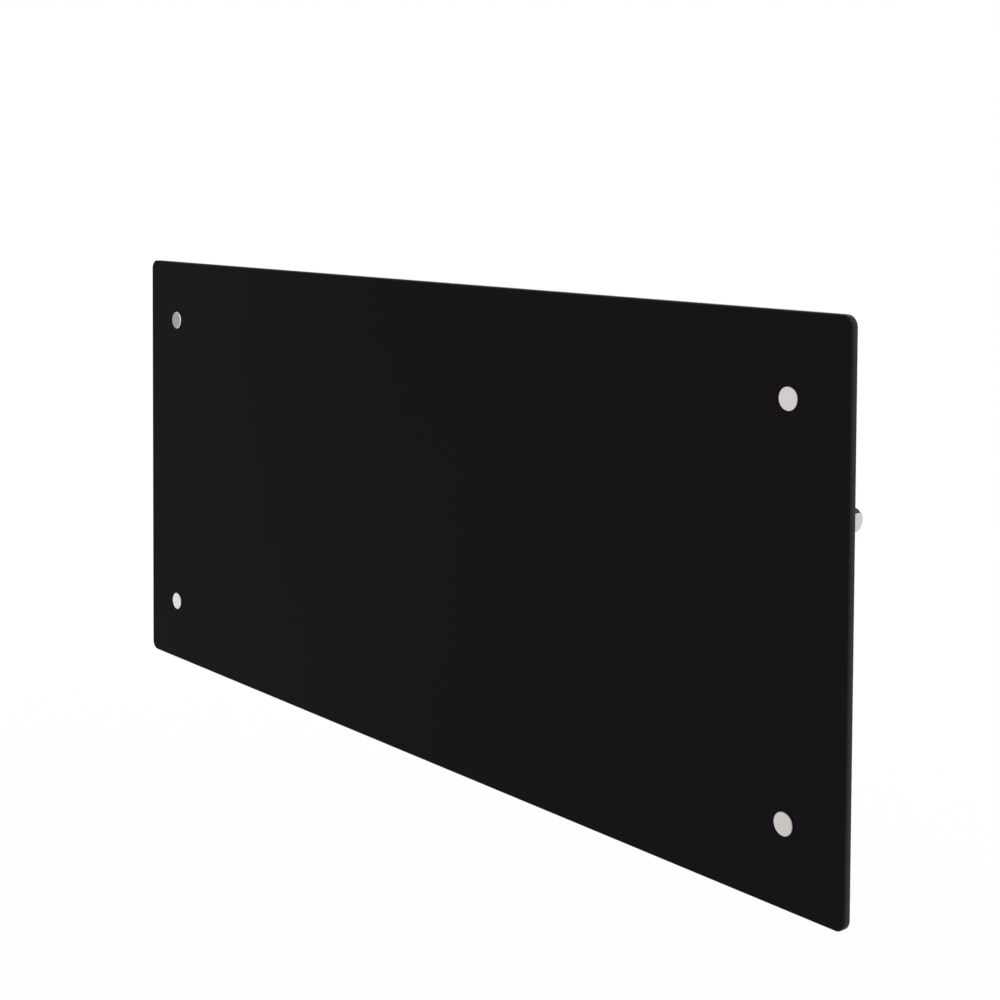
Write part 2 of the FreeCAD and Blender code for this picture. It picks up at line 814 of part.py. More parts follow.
for x, z in BOARD_SCREWS:
    add_circle(wall_holes, x, z, BOARD_HOLE)
pocket(front, wall_holes, "sheet")
flange_holes = sketch_on(front, "XZ_Plane", "-(y_seam) + sheet")
for end in (-1, 1):
    for x in COVER_SCREW_X:
        add_circle(flange_holes, x, f"{end} * ({COVER_SCREW_Z})", SCREW_HOLE)
pocket(front, flange_holes, "sheet")
node(front)

# Rear cover: a pressed steel pan with a rim and three stiffening beads, screwed to the shell's flanges

HANGER_RIVETS = [(f"{side} * upright_x", f"hang_z + {end} * hanger_height / 3")
                 for _, side in SIDES for end in (-1, 1)]
WALL_SLANT = "sheet * pan_wall_slant"
BEAD_Y = "y_back + bead_radius - bead_depth"
BEAD_LEVELS = [f"{step} * bead_pitch" for step in (-1, 0, 1)]


def bead_form(label, radius, level):
    """A long form with round ends, whose side dips into the back of the pan."""
    run = rod(label + "_run", "+x", ("-bead_length / 2", BEAD_Y, level), radius, "bead_length")
    ends = [doc.addObject("Part::Sphere", label + "_end") for _ in SIDES]
    for ball, (_, side) in zip(ends, SIDES):
        bind(ball, "Radius", radius)
        place(ball, f"{side} * bead_length / 2", BEAD_Y, level)
    return fuse(label, [run] + ends)


def pan_form(label, depth_end, inset, far_inset, corner, bend):
    """The pressed pan as a solid shape with rounded corners and a rounded back edge."""
    body = new_body(label)
    wedge(body, "PartDesign::AdditiveWedge", "y_seam", f"pan_x - ({inset})", f"pan_z - ({inset})",
          depth_end, f"pan_x - ({far_inset})", f"pan_z - ({far_inset})")
    round_edges(body, crosses("y"), corner)
    round_edges(body, flat_at("y", depth_end), bend)
    return body


pan = pan_form("rear_cover_form", "y_back", "0", "pan_slope", "pan_corner", "pan_round")
rim = sketch_on(pan, "XZ_Plane", "-(y_seam) - sheet")
add_rectangle(rim, "-(case_x)", "case_x", "-(case_z)", "case_z")
pad(pan, rim, "sheet")
hollow = pan_form("rear_cover_hollow", "y_back - sheet", WALL_SLANT,
                  f"{WALL_SLANT} + pan_slope * (rear_depth - sheet) / rear_depth",
                  "pan_corner - sheet", "pan_round - sheet")
cover_holes = [rod("cover_hole", "+y", (x, "y_seam", f"{end} * ({COVER_SCREW_Z})"), SCREW_HOLE, "sheet")
               for end in (-1, 1) for x in COVER_SCREW_X]
cover_holes += [rod("cover_rivet_hole", "+y", (x, "y_back - sheet", z), RIVET_HOLE, "sheet")
                for x, z in HANGER_RIVETS]
bead_backs = [bead_form("bead_back", "bead_radius + sheet", level) for level in BEAD_LEVELS]
beads = [bead_form("bead", "bead_radius", level) for level in BEAD_LEVELS]
inside = cut("rear_cover_inside", hollow, bead_backs)
node(cut("rear_cover", pan, [inside] + beads + cover_holes))

cover_screws = group("cover_screws", screw, "+y", [
    (x, "y_seam + sheet", f"{end} * ({COVER_SCREW_Z})") for end in (-1, 1) for x in COVER_SCREW_X])

# End caps: moulded plastic caps that plug into the ends of the shell; the right one is the control end

VENTS = [f"gland_x + {step} * vent_pitch" for step in (-1, 1)]


def end_cap(label, side):
    inboard = "case_x" if side > 0 else "-(end_x)"
    outer_face = f"{side} * (end_x)"
    back = "y_seam + sheet"
    body = new_body(label)
    block = sketch_on(body, "YZ_Plane", inboard)
    add_rectangle(block, "y_front", back, "-(case_z)", "case_z")
    pad(body, block, "end_cap_width")
    round_edges(body, along("x"), "bend_radius")
    round_edges(body, flat_at("x", outer_face), "end_cap_round")
    lip = sketch_on(body, "YZ_Plane", "case_x - lip_length" if side > 0 else "-(case_x)")
    room = "(sheet + lip_clear)"
    add_rectangle(lip, f"y_front + {room}", f"y_seam - {room}", f"-(case_z - {room})", f"case_z - {room}")
    pad(body, lip, "lip_length")
    lip_middle = value(f"{side} * (case_x - lip_length / 2)")
    round_edges(body, both(along("x"), lambda edge: abs(
        edge.CenterOfMass.x - lip_middle) < NEAR), "bend_radius - sheet")
    hollow = sketch_on(body, "YZ_Plane", "end_inside_x" if side > 0 else "-(case_x - lip_length)")
    deep = f"({room} + lip_wall)"
    add_rectangle(hollow, f"y_front + {deep}", f"y_seam - {deep}",
                  f"-(case_z - {deep})", f"case_z - {deep}")
    pocket(body, hollow, "end_cap_width - end_cap_wall + lip_length")
    screws = sketch_on(body, "XY_Plane", "case_z")
    add_circle(screws, f"{side} * ({END_SCREW_X})", "knob_y", SCREW_HOLE)
    pocket(body, screws, "2 * (case_z)")
    return body


left_cap = end_cap("left_end_cap", -1)
left_vents = sketch_on(left_cap, "XY_Plane", f"-(case_z) + sheet + lip_clear + lip_wall")
for step in (-1, 0, 1):
    x = f"-(gland_x + {step} * vent_pitch)"
    add_rectangle(left_vents, f"{x} - vent_width / 2", f"{x} + vent_width / 2",
                  "knob_y - vent_length / 2", "knob_y + vent_length / 2")
pocket(left_cap, left_vents, "sheet + lip_clear + lip_wall")
node(left_cap)

right_cap = end_cap("right_end_cap", 1)
knob_hole = sketch_on(right_cap, "YZ_Plane", "end_x")
add_circle(knob_hole, "knob_y", "knob_z", "bush_thread_dia / 2 + hole_clear")
pocket(right_cap, knob_hole, "end_cap_wall")
switch_hole = sketch_on(right_cap, "YZ_Plane", "end_x")
add_rectangle(switch_hole, "knob_y - switch_body_depth / 2 - hole_clear",
              "knob_y + switch_body_depth / 2 + hole_clear",
              "switch_z - switch_body_height / 2 - hole_clear",
              "switch_z + switch_body_height / 2 + hole_clear")
pocket(right_cap, switch_hole, "end_cap_wall")
FLOOR = "sheet + lip_clear + lip_wall"
gland_hole = sketch_on(right_cap, "XY_Plane", f"-(case_z) + {FLOOR}")
add_circle(gland_hole, "gland_x", "knob_y", "gland_thread_dia / 2 + hole_clear")
pocket(right_cap, gland_hole, FLOOR)
node(right_cap)

END_SCREWS = [f"{side} * ({END_SCREW_X})" for _, side in SIDES]
top_screws = group("top_end_screws", screw, "+z", [(x, "knob_y", "case_z") for x in END_SCREWS])
low_screws = group("low_end_screws", screw, "-z", [(x, "knob_y", "-(case_z)") for x in END_SCREWS])
node(together("casing_screws", [carrier_screws, cover_screws, top_screws, low_screws]))

# Air grilles: slotted plates behind the windows in the shell's top and bottom

SLOT_FIRST = f"-({GRILLE_X}) + grille_clear + slot_margin + slot_width / 2"


def air_grille(label, low, window_low):
    """A plate with a raised field that fills the window, slotted all along."""
    body = new_body(label)
    plate = sketch_on(body, "XY_Plane", low)
    add_rectangle(plate, f"-({GRILLE_X} + grille_flange)", f"{GRILLE_X} + grille_flange",
                  f"{GRILLE_Y[0]} - grille_flange", f"{GRILLE_Y[1]} + grille_flange")
    pad(body, plate, "grille_thick")
    field = sketch_on(body, "XY_Plane", window_low)
    add_rectangle(field, f"-({GRILLE_X} - grille_clear)", f"{GRILLE_X} - grille_clear",
                  f"{GRILLE_Y[0]} + grille_clear", f"{GRILLE_Y[1]} - grille_clear")
    pad(body, field, "sheet")
    bottom = low if value(low) < value(window_low) else window_low
    slot = sketch_on(body, "XY_Plane", f"{bottom} + grille_thick + sheet")
    add_rectangle(slot, f"{SLOT_FIRST} - slot_width / 2", f"{SLOT_FIRST} + slot_width / 2",
                  f"{GRILLE_Y[0]} + grille_clear + slot_margin",
                  f"{GRILLE_Y[1]} - grille_clear - slot_margin")
    first = pocket(body, slot, "grille_thick + sheet")
    row = body.newObject("PartDesign::LinearPattern", label + "_row")
    row.Originals = [first]
    row.Direction = (slot, ["H_Axis"])
    run = f"2 * ({GRILLE_X} - grille_clear - slot_margin - slot_width / 2)"
    count = int(value(run) // value("slot_pitch")) + 1
    row.Occurrences = count
    bind(row, "Length", f"slot_pitch * {count - 1}")
    body.Tip = row
    return body


node(air_grille("outlet_grille", "case_z - sheet - grille_thick", "case_z - sheet"))
node(air_grille("inlet_grille", "-(case_z - sheet)", "-(case_z)"))

# Hangers: riveted clevises on the rear cover, whose pins hang in the hooks of the uprights


def hanger(label, side):
    middle = f"{side} * upright_x"
    eye = "hanger_eye / 2"
    base = box(label + "_base", (f"{middle} - hanger_half", "y_back", "hang_z - hanger_height / 2"),
               ("2 * (hanger_half)", "hanger_sheet", "hanger_height"))
    pieces = [base]
    for hand in (-1, 1):
        x = f"{middle} - hanger_half" if hand < 0 else f"{middle} + hanger_half - hanger_sheet"
        pieces.append(box(f"{label}_ear", (x, "y_back", f"hang_z - {eye}"),
                          ("hanger_sheet", "hang_out", "hanger_eye")))
        pieces.append(rod(f"{label}_eye", "+x", (x, "hang_y", "hang_z"), eye, "hanger_sheet"))
    solid = fuse(label + "_solid", pieces)
    tools = [rod(label + "_bore", "+x", (f"{middle} - hanger_half", "hang_y", "hang_z"),
                 "pin_dia / 2 + pin_run_clear", "2 * (hanger_half)")]
    for x, z in HANGER_RIVETS:
        if value(x) * side > 0:
            tools.append(rod(label + "_hole", "+y", (x, "y_back", z), RIVET_HOLE, "hanger_sheet"))
    return cut(label, solid, tools)


for label, side in SIDES:
    node(hanger(label + "_hanger", side))

PIN_HALF = "upright_width / 2 + pin_past"
hanger_pin = turned("hanger_pin", pin_profile("pin_dia / 2", f"2 * ({PIN_HALF})"))
node(group("hanger_pins", hanger_pin, "+x", [
    (f"{side} * upright_x - ({PIN_HALF})", "hang_y", "hang_z") for _, side in SIDES]))

hanger_rivet = turned("hanger_rivet", headed_profile(
    "rivet_head_dia / 2", "rivet_head", "rivet_dia / 2", "hanger_sheet + sheet"))
hanger_rivets = group("hanger_rivets", hanger_rivet, "+y", [
    (x, "y_back + hanger_sheet", z) for x, z in HANGER_RIVETS])

BUMPER_Z = "-(case_z - bumper_rise)"
bumpers = [box(f"{label}_bumper", (f"{side} * upright_x - bumper_width / 2", "y_back",
                                   f"{BUMPER_Z} - bumper_height / 2"),
               ("bumper_width", "wall_gap - upright_reach", "bumper_height")) for label, side in SIDES]
node(together("bumper_pads", bumpers))

# Heating element: a finned aluminium bar on a sheathed core, in ceramic bushes on two steel supports

FIN_LEFT = "core_left + bush_inset + bush_length + sheet"
FIN_RIGHT = "core_right - bush_inset - bush_length - sheet"
FIN_LENGTH = f"{FIN_RIGHT} - ({FIN_LEFT})"
fins = []
for angle in (45, -45):
    fin = doc.addObject("Part::Box", "element_fin")
    turn = Rotation(Vector(1, 0, 0), angle)
    fin.Placement = Placement(Vector(), turn)
    bind(fin, "Length", FIN_LENGTH)
    bind(fin, "Width", "2 * fin_reach")
    bind(fin, "Height", "fin_thick")
    back = turn.multVec(Vector(0, 1, 0))
    rise = turn.multVec(Vector(0, 0, 1))
    place(fin, FIN_LEFT,
          f"element_y - fin_reach * {back.y:.6f} - fin_thick * {rise.y / 2:.6f}",
          f"element_z - fin_reach * {back.z:.6f} - fin_thick * {rise.z / 2:.6f}")
    fins.append(fin)
core = rod("element_core", "+x", ("core_left", "element_y", "element_z"),
           "core_dia / 2", "core_right - core_left")
node(fuse("heating_element", fins + [core]))

terminal = turned("element_terminal", pin_profile("terminal_dia / 2", "terminal_length"))
node(group("element_terminals", terminal, "+x", [
    ("core_left - terminal_length", "element_y", "element_z"), ("core_right", "element_y", "element_z")]))

element_bush = turned("element_bush", ring_profile(
    "core_dia / 2 + hole_clear", "bush_dia / 2", "bush_length"))
node(group("element_bushes", element_bush, "+x", [
    ("core_left + bush_inset", "element_y", "element_z"),
    ("core_right - bush_inset - bush_length", "element_y", "element_z")]))


def element_support(label, side, middle):
    low = "element_z - support_height / 2"
    plate = box(label + "_plate", (f"{middle} - carrier_sheet / 2", "y_inside", low),
                ("carrier_sheet", "element_y - y_inside + support_reach", "support_height"))
    start = f"{middle} + carrier_sheet / 2"
    if side < 0:
        start = f"{middle} - carrier_sheet / 2 - support_foot"
    foot = box(label + "_foot", (start, "y_inside", low),
               ("support_foot", "carrier_sheet", "support_height"))
    tools = [rod(label + "_seat", "+x", (f"{middle} - carrier_sheet / 2", "element_y", "element_z"),
                 "bush_dia / 2 + hole_clear", "carrier_sheet")]
    for x, z in SUPPORT_RIVETS:
        if (value(x) - value("shield_x / 2 - case_x / 2")) * side > 0:
            tools.append(rod(label + "_hole", "+y", (x, "y_inside", z), RIVET_HOLE, "carrier_sheet"))
    return cut(label, fuse(label + "_solid", [plate, foot]), tools)


for label, side, middle in SUPPORT_SIDES:
    node(element_support(label + "_element_support", side, middle))

support_rivet = turned("support_rivet", headed_profile(
    "rivet_head_dia / 2", "rivet_head", "rivet_dia / 2", "carrier_sheet + sheet"))
support_rivets = group("support_rivets", support_rivet, "+y", [
    (x, "y_inside + carrier_sheet", z) for x, z in SUPPORT_RIVETS])

# Overheat cut-out: a bimetal disc on a small plate, with a terminal cover on its back

LEAD_Y = "board_y + board_thick / 2"
plate = box("cutout_plate",
            ("cutout_x - cutout_dia / 2", "y_inside", "cutout_z - cutout_plate_height / 2"),
            ("cutout_dia", "cutout_plate_thick", "cutout_plate_height"))
disc = rod("cutout_disc", "+y", ("cutout_x", "y_inside", "cutout_z"), "cutout_dia / 2", "cutout_height")
lid = box("cutout_cover", ("cutout_x - cutout_cover / 2", "y_inside + cutout_height",
                           "cutout_z - cutout_cover_height / 2"),
          ("cutout_cover", f"{LEAD_Y} + lead_dia - y_inside - cutout_height", "cutout_cover_height"))
cutout_holes = [rod("cutout_hole", "+y", (x, "y_inside", z), RIVET_HOLE, "cutout_plate_thick")
                for x, z in CUTOUT_RIVETS]
node(cut("thermal_cutout", fuse("cutout_solid", [plate, disc, lid]), cutout_holes))
cutout_rivet = turned("cutout_rivet", headed_profile(
    "small_rivet_head_dia / 2", "rivet_head", "rivet_dia / 2", "cutout_plate_thick + sheet"))
cutout_rivets = group("cutout_rivets", cutout_rivet, "+y", [
    (x, "y_inside + cutout_plate_thick", z) for x, z in CUTOUT_RIVETS])

# Heat shield between the element and the electronics bay, with grommets for the leads

SHIELD_BACK = "y_seam - sheet - sheet / 2"
LEAD_HOLES = [("element_y", "element_z"), ("element_y", "low_lead_z"), (LEAD_Y, "cutout_z")]
shield_plate = box("shield_plate", ("shield_x", "y_inside", "-(pan_z)"),
                   ("sheet", f"{SHIELD_BACK} - y_inside", "2 * (pan_z)"))
shield_foot = box("shield_foot", ("shield_x + sheet", "y_inside", "-(pan_z)"),
                  ("shield_foot", "sheet", "2 * (pan_z)"))
shield_tools = [rod("shield_hole", "+x", ("shield_x", y, z), "grommet_hole / 2", "sheet")
                for y, z in LEAD_HOLES]
shield_tools += [rod("shield_rivet_hole", "+y", (x, "y_inside", z), RIVET_HOLE, "sheet")
                 for x, z in SHIELD_RIVETS]
node(cut("heat_shield", fuse("shield_solid", [shield_plate, shield_foot]), shield_tools))

shield_rivet = turned("shield_rivet", headed_profile(
    "rivet_head_dia / 2", "rivet_head", "rivet_dia / 2", "2 * sheet"))
shield_rivets = group("shield_rivets", shield_rivet, "+y", [
    (x, "y_inside + sheet", z) for x, z in SHIELD_RIVETS])
node(together("casing_rivets", [hanger_rivets, support_rivets, cutout_rivets, shield_rivets]))

grommet = turned("grommet", [
    ("lead_dia / 2 + hole_clear", "0"), ("grommet_hole / 2 + sheet", "0"),
    ("grommet_hole / 2 + sheet", "(grommet_thick - sheet) / 2"),
    ("grommet_hole / 2 - hole_clear", "(grommet_thick - sheet) / 2"),
    ("grommet_hole / 2 - hole_clear", "grommet_thick"), ("lead_dia / 2 + hole_clear", "grommet_thick")])
node(group("lead_grommets", grommet, "+x", [
    ("shield_x - (grommet_thick - sheet) / 2", y, z) for y, z in LEAD_HOLES]))

# Power board on four spacers, with its relay, supply, capacitor and terminal block

board = new_body("power_board")
board_outline = sketch_on(board, "XZ_Plane", "-(board_back)")
add_rectangle(board_outline, "board_x", "board_x + board_width",
              "board_z - board_height / 2", "board_z + board_height / 2")
for x, z in BOARD_SCREWS:
    add_circle(board_outline, x, z, BOARD_HOLE)
pad(board, board_outline, "board_thick")
node(board)

spacer = turned("board_spacer", ring_profile(BOARD_HOLE, "spacer_dia / 2", "board_gap"))
node(group("board_spacers", spacer, "+y", [(x, "y_inside", z) for x, z in BOARD_SCREWS]))
board_screw = turned("board_screw", headed_profile(
    "board_screw_head_dia / 2", "screw_head", "board_screw_dia / 2",
    "board_thick + board_gap + sheet / 2"))
node(group("board_screws", board_screw, "+y", [(x, "board_back", z) for x, z in BOARD_SCREWS]))

BOARD_MIDDLE = "board_x + board_width / 2"
RELAY_Z = "board_z + board_height / 2 - 2 * spacer_inset - relay_height"
SUPPLY_Z = f"{RELAY_Z} - supply_height - spacer_inset / 2"
node(box("relay", (f"{BOARD_MIDDLE} - relay_width / 2", "board_back", RELAY_Z),
         ("relay_width", "relay_depth", "relay_height")))
node(box("power_supply", (f"{BOARD_MIDDLE} - supply_width / 2", "board_back", SUPPLY_Z),
         ("supply_width", "supply_depth", "supply_height")))
node(rod("filter_capacitor", "+y", (f"{BOARD_MIDDLE} + capacitor_dia / 2", "board_back",
                                    f"{SUPPLY_Z} - capacitor_dia / 2 - spacer_inset / 2"),
         "capacitor_dia / 2", "capacitor_height"))
node(box("terminal_block", ("block_x + spacer_inset", "board_back", "block_z + spacer_inset / 2"),
         ("block_width", "block_depth", "block_height")))

# Control end: encoder, its nut and plunger, and the control board behind the right end wall

encoder_block = box("encoder_block",
                    ("encoder_x", "knob_y - encoder_side / 2", "knob_z - encoder_side / 2"),
                    ("encoder_depth", "encoder_side", "encoder_side"))
encoder_thread = rod("encoder_thread", "+x", ("end_inside_x", "knob_y", "knob_z"),
                     "bush_thread_dia / 2", "end_cap_wall + bush_past_wall")
encoder_bore = rod("encoder_bore", "+x", ("encoder_x + encoder_floor", "knob_y", "knob_z"),
                   "shaft_dia / 2 + shaft_run_clear",
                   "encoder_depth - encoder_floor + end_cap_wall + bush_past_wall")
node(cut("encoder_body", fuse("encoder_solid", [encoder_block, encoder_thread]), [encoder_bore]))

encoder_nut = hexagon("encoder_nut_master", "encoder_nut_across", "bush_thread_dia / 2 + hole_clear",
                      "encoder_nut_height")
node(group("encoder_nut", encoder_nut, "+x", [("end_x", "knob_y", "knob_z")]))
node(rod("encoder_plunger", "+x", ("plunger_x", "knob_y", "knob_z"), "shaft_dia / 2", "plunger_height"))

SHAFT_END = "knob_x + shaft_in_knob"
node(rod("encoder_shaft", "+x", ("shaft_x", "knob_y", "knob_z"),
         "shaft_dia / 2", f"{SHAFT_END} - shaft_x"))

control_board = box("control_board", ("control_board_x", "knob_y - control_board_depth / 2",
                                      "knob_z - control_board_below"),
                    ("board_thick", "control_board_depth", "control_board_below + control_board_above"))
node(control_board)

# Control knob: turned along X, with a dark index let into the top of its face and sunk a little below it

knob = new_body("control_knob")
knob_outline = sketch_on(knob, "YZ_Plane", "knob_x")
add_circle(knob_outline, "knob_y", "knob_z", "knob_dia / 2")
pad(knob, knob_outline, "knob_length")
round_edges(knob, flat_at("x", "knob_face_x"), "knob_round")
recess = sketch_on(knob, "YZ_Plane", "knob_x + knob_recess")
add_circle(recess, "knob_y", "knob_z", "knob_recess_dia / 2")
pocket(knob, recess, "knob_recess")
bore = sketch_on(knob, "YZ_Plane", SHAFT_END)
add_circle(bore, "knob_y", "knob_z", "shaft_dia / 2 + shaft_run_clear")
pocket(knob, bore, "shaft_in_knob")
notch = sketch_on(knob, "YZ_Plane", "knob_face_x")
add_rectangle(notch, "knob_y - knob_dia", "knob_y + knob_dia",
              "knob_z + index_rise", "knob_z + knob_dia")
pocket(knob, notch, "index_depth")
node(knob)

index = new_body("knob_index")
index_outline = sketch_on(index, "YZ_Plane", "knob_face_x - index_depth")
add_circle(index_outline, "knob_y", "knob_z", "knob_dia / 2")
pad(index, index_outline, "index_depth - index_sink")
round_edges(index, flat_at("x", "knob_face_x - index_sink"), "knob_round")
flat = sketch_on(index, "YZ_Plane", "knob_face_x - index_sink")
add_rectangle(flat, "knob_y - knob_dia", "knob_y + knob_dia",
              "knob_z - knob_dia", "knob_z + index_rise + index_clear")
pocket(index, flat, "index_depth - index_sink")
node(index)

# Mains switch: a housing through the end wall and a rocker on a pin across it, at rest on its upper half

ROCKER_ROOM = "rocker_length / 2 + rocker_sweep + rocker_gap"
POCKET_FLOOR = "rocker_boss_dia / 2 + rocker_gap"
bezel = box("switch_bezel_plate",
            ("end_x", "knob_y - switch_bezel_depth / 2", "switch_z - switch_bezel_height / 2"),
            ("switch_bezel", "switch_bezel_depth", "switch_bezel_height"))
shell = box("switch_shell",
            ("switch_back", "knob_y - switch_body_depth / 2", "switch_z - switch_body_height / 2"),
            ("switch_body_length", "switch_body_depth", "switch_body_height"))
room = box("switch_room", (f"rocker_x - ({POCKET_FLOOR})", "knob_y - rocker_width / 2 - rocker_gap",
                           f"switch_z - ({ROCKER_ROOM})"),
           (f"{POCKET_FLOOR} + rocker_pivot_depth + switch_bezel", "rocker_width + 2 * rocker_gap",
            f"2 * ({ROCKER_ROOM})"))
PIN_REACH = "rocker_width / 2 + rocker_gap + sheet"
pin_hole = rod("switch_pin_hole", "+y", ("rocker_x", f"knob_y - ({PIN_REACH} + rocker_gap)", "switch_z"),
               "rocker_pin_dia / 2 + pin_run_clear", f"2 * ({PIN_REACH} + rocker_gap)")
node(cut("switch_body", fuse("switch_solid", [bezel, shell]), [room, pin_hole]))

tabs = [box("switch_tab", ("switch_back - switch_tab_length", "knob_y - switch_tab_width / 2",
                           f"switch_z + {end} * switch_tab_spacing / 2 - switch_tab_thick / 2"),
            ("switch_tab_length", "switch_tab_width", "switch_tab_thick")) for end in (-1, 1)]
node(together("switch_terminals", tabs))

# The rocker is drawn level about its pin and then tipped, so that its upper half is pressed in
rocker = new_body("rocker_form")
rocker_side = sketch_on(rocker, "XZ_Plane", "-rocker_width / 2")
add_loop(rocker_side, [
    ("rocker_gap", "-rocker_length / 2"), ("rocker_crown", "-rocker_length / 2"),
    ("rocker_crown - rocker_dip", "0"), ("rocker_crown", "rocker_length / 2"),
    ("rocker_gap", "rocker_length / 2")])
pad(rocker, rocker_side, "rocker_width")
boss = sketch_on(rocker, "XZ_Plane", "-rocker_width / 2")
add_circle(boss, "0", "0", "rocker_boss_dia / 2")
pad(rocker, boss, "rocker_width")
trunnion = sketch_on(rocker, "XZ_Plane", f"-({PIN_REACH})")
add_circle(trunnion, "0", "0", "rocker_pin_dia / 2")
pad(rocker, trunnion, f"2 * ({PIN_REACH})")
doc.recompute()
switch_rocker = doc.addObject("Part::Feature", "switch_rocker")
switch_rocker.Shape = rocker.Shape.copy()
tip = Rotation(Vector(0, 1, 0), -value("rocker_angle"))
switch_rocker.Placement = Placement(Vector(value("rocker_x"), value("knob_y"), value("switch_z")), tip)
node(switch_rocker)

# Cord gland through the floor of the control end, and the room sensor in its holder

gland_body = turned("gland_form", [
    ("gland_bore / 2", "-gland_flange"), ("gland_nose_dia / 2", "-gland_flange"),
    ("gland_flange_dia / 2", "-gland_flange * gland_nose_share"), ("gland_flange_dia / 2", "0"),
    ("gland_thread_dia / 2", "0"), ("gland_thread_dia / 2", "gland_inside"),
    ("gland_bore / 2", "gland_inside")])
node(group("cord_gland", gland_body, "+z", [("gland_x", "knob_y", "-(case_z)")]))
gland_nut = hexagon("gland_nut_master", "gland_nut_across",
                    "gland_thread_dia / 2 + hole_clear", "gland_nut_height")
node(group("gland_nut", gland_nut, "+z", [("gland_x", "knob_y", f"-(case_z) + {FLOOR}")]))

holder = box("sensor_block", ("sensor_x - sensor_dia", "sensor_y - sensor_holder_width / 2", "sensor_z"),
             ("end_inside_x - sensor_x + sensor_dia", "sensor_holder_width", "sensor_holder_height"))
holder_bore = rod("sensor_bore", "+z", ("sensor_x", "sensor_y", "sensor_z"),
                  "sensor_dia / 2 + hole_clear", "sensor_holder_height")
node(cut("sensor_holder", holder, [holder_bore]))
SENSOR_FOOT = "sensor_z - (sensor_length - sensor_holder_height) / 2"
node(rod("room_sensor", "+z", ("sensor_x", "sensor_y", SENSOR_FOOT), "sensor_dia / 2", "sensor_length"))

# Leads: straight runs joined by arcs, each ending square on the piece that it serves


def lead(points, radius, bend):
    """One round lead along a route of points, with each corner rounded by an arc."""
    spots = [Vector(*[value(text) for text in point]) for point in points]
    edges = []
    start = spots[0]
    for before, corner, after in zip(spots, spots[1:], spots[2:]):
        back = (before - corner).normalize()
        ahead = (after - corner).normalize()
        half_turn = back.getAngle(ahead) / 2
        setback = bend / math.tan(half_turn)
        towards = (back + ahead).normalize()
        reach = (setback ** 2 + bend ** 2) ** 0.5 - bend
        arc = Part.Arc(corner + back * setback, corner + towards * reach, corner + ahead * setback)
        edges += [Part.LineSegment(start, corner + back * setback).toShape(), arc.toShape()]
        start = corner + ahead * setback
    edges.append(Part.LineSegment(start, spots[-1]).toShape())
    path = Part.Wire(edges)
    section = Part.Wire(Part.makeCircle(radius, spots[0], spots[1] - spots[0]))
    tube = path.makePipeShell([section], True, False)
    expected = path.Length * math.pi * radius ** 2
    if abs(tube.Volume - expected) > expected / 100:
        raise RuntimeError("a lead came out with the wrong volume")
    return tube


def lead_group(label, routes):
    item = doc.addObject("Part::Feature", label)
    radius, bend = value("lead_dia / 2"), value("lead_bend")
    item.Shape = Part.makeCompound([lead(points, radius, bend) for points in routes])
    item.Placement = Placement()
    return item


BLOCK_FLOOR = "block_z + spacer_inset / 2"
BLOCK_SHARES = (0.15, 0.4, 0.65, 0.9)
BLOCK_WAY = [f"block_x + spacer_inset + block_width * {share}" for share in BLOCK_SHARES]
LOOP_X = "core_left - terminal_length - lead_bend - sheet"
node(lead_group("element_leads", [
    [("core_right + terminal_length", "element_y", "element_z"), (BLOCK_WAY[0], "element_y", "element_z"),
     (BLOCK_WAY[0], "element_y", BLOCK_FLOOR)],
    [("core_left - terminal_length", "element_y", "element_z"), (LOOP_X, "element_y", "element_z"),
     (LOOP_X, "element_y", "low_lead_z"), (BLOCK_WAY[1], "element_y", "low_lead_z"),
     (BLOCK_WAY[1], "element_y", BLOCK_FLOOR)]]))

TAB_END = "switch_back - switch_tab_length"
TAB_Z = [f"switch_z + {end} * switch_tab_spacing / 2" for end in (-1, 1)]
DROP_X = [f"{TAB_END} - lead_bend - sheet", f"{TAB_END} - lead_bend - sheet - 2 * lead_dia"]
TURN_Z = [f"{BLOCK_FLOOR} - lead_bend * 2 - 3 * lead_dia", f"{BLOCK_FLOOR} - lead_bend * 2 - lead_dia"]
node(lead_group("switch_leads", [
    [(TAB_END, "element_y", TAB_Z[0]), (DROP_X[0], "element_y", TAB_Z[0]),
     (DROP_X[0], "element_y", TURN_Z[0]),
     (BLOCK_WAY[2], "element_y", TURN_Z[0]), (BLOCK_WAY[2], "element_y", BLOCK_FLOOR)],
    [(TAB_END, "element_y", TAB_Z[1]), (DROP_X[1], "element_y", TAB_Z[1]),
     (DROP_X[1], "element_y", TURN_Z[1]),
     (BLOCK_WAY[3], "element_y", TURN_Z[1]), (BLOCK_WAY[3], "element_y", BLOCK_FLOOR)]]))

node(rod("cutout_lead", "+x", ("cutout_x + cutout_cover / 2", LEAD_Y, "cutout_z"), "lead_dia / 2",
         "board_x - cutout_x - cutout_cover / 2"))
node(rod("board_link", "+x", ("board_x + board_width", "board_y + board_thick / 2",
                              "knob_z - control_board_below / 2"), "lead_dia / 4",
         "control_board_x - board_x - board_width"))
SENSOR_TOP = "sensor_z + (sensor_holder_height + sensor_length) / 2"
node(rod("sensor_lead", "+z", ("sensor_x", "sensor_y", SENSOR_TOP), "sensor_lead_dia / 2",
         f"knob_z - control_board_below - ({SENSOR_TOP})"))

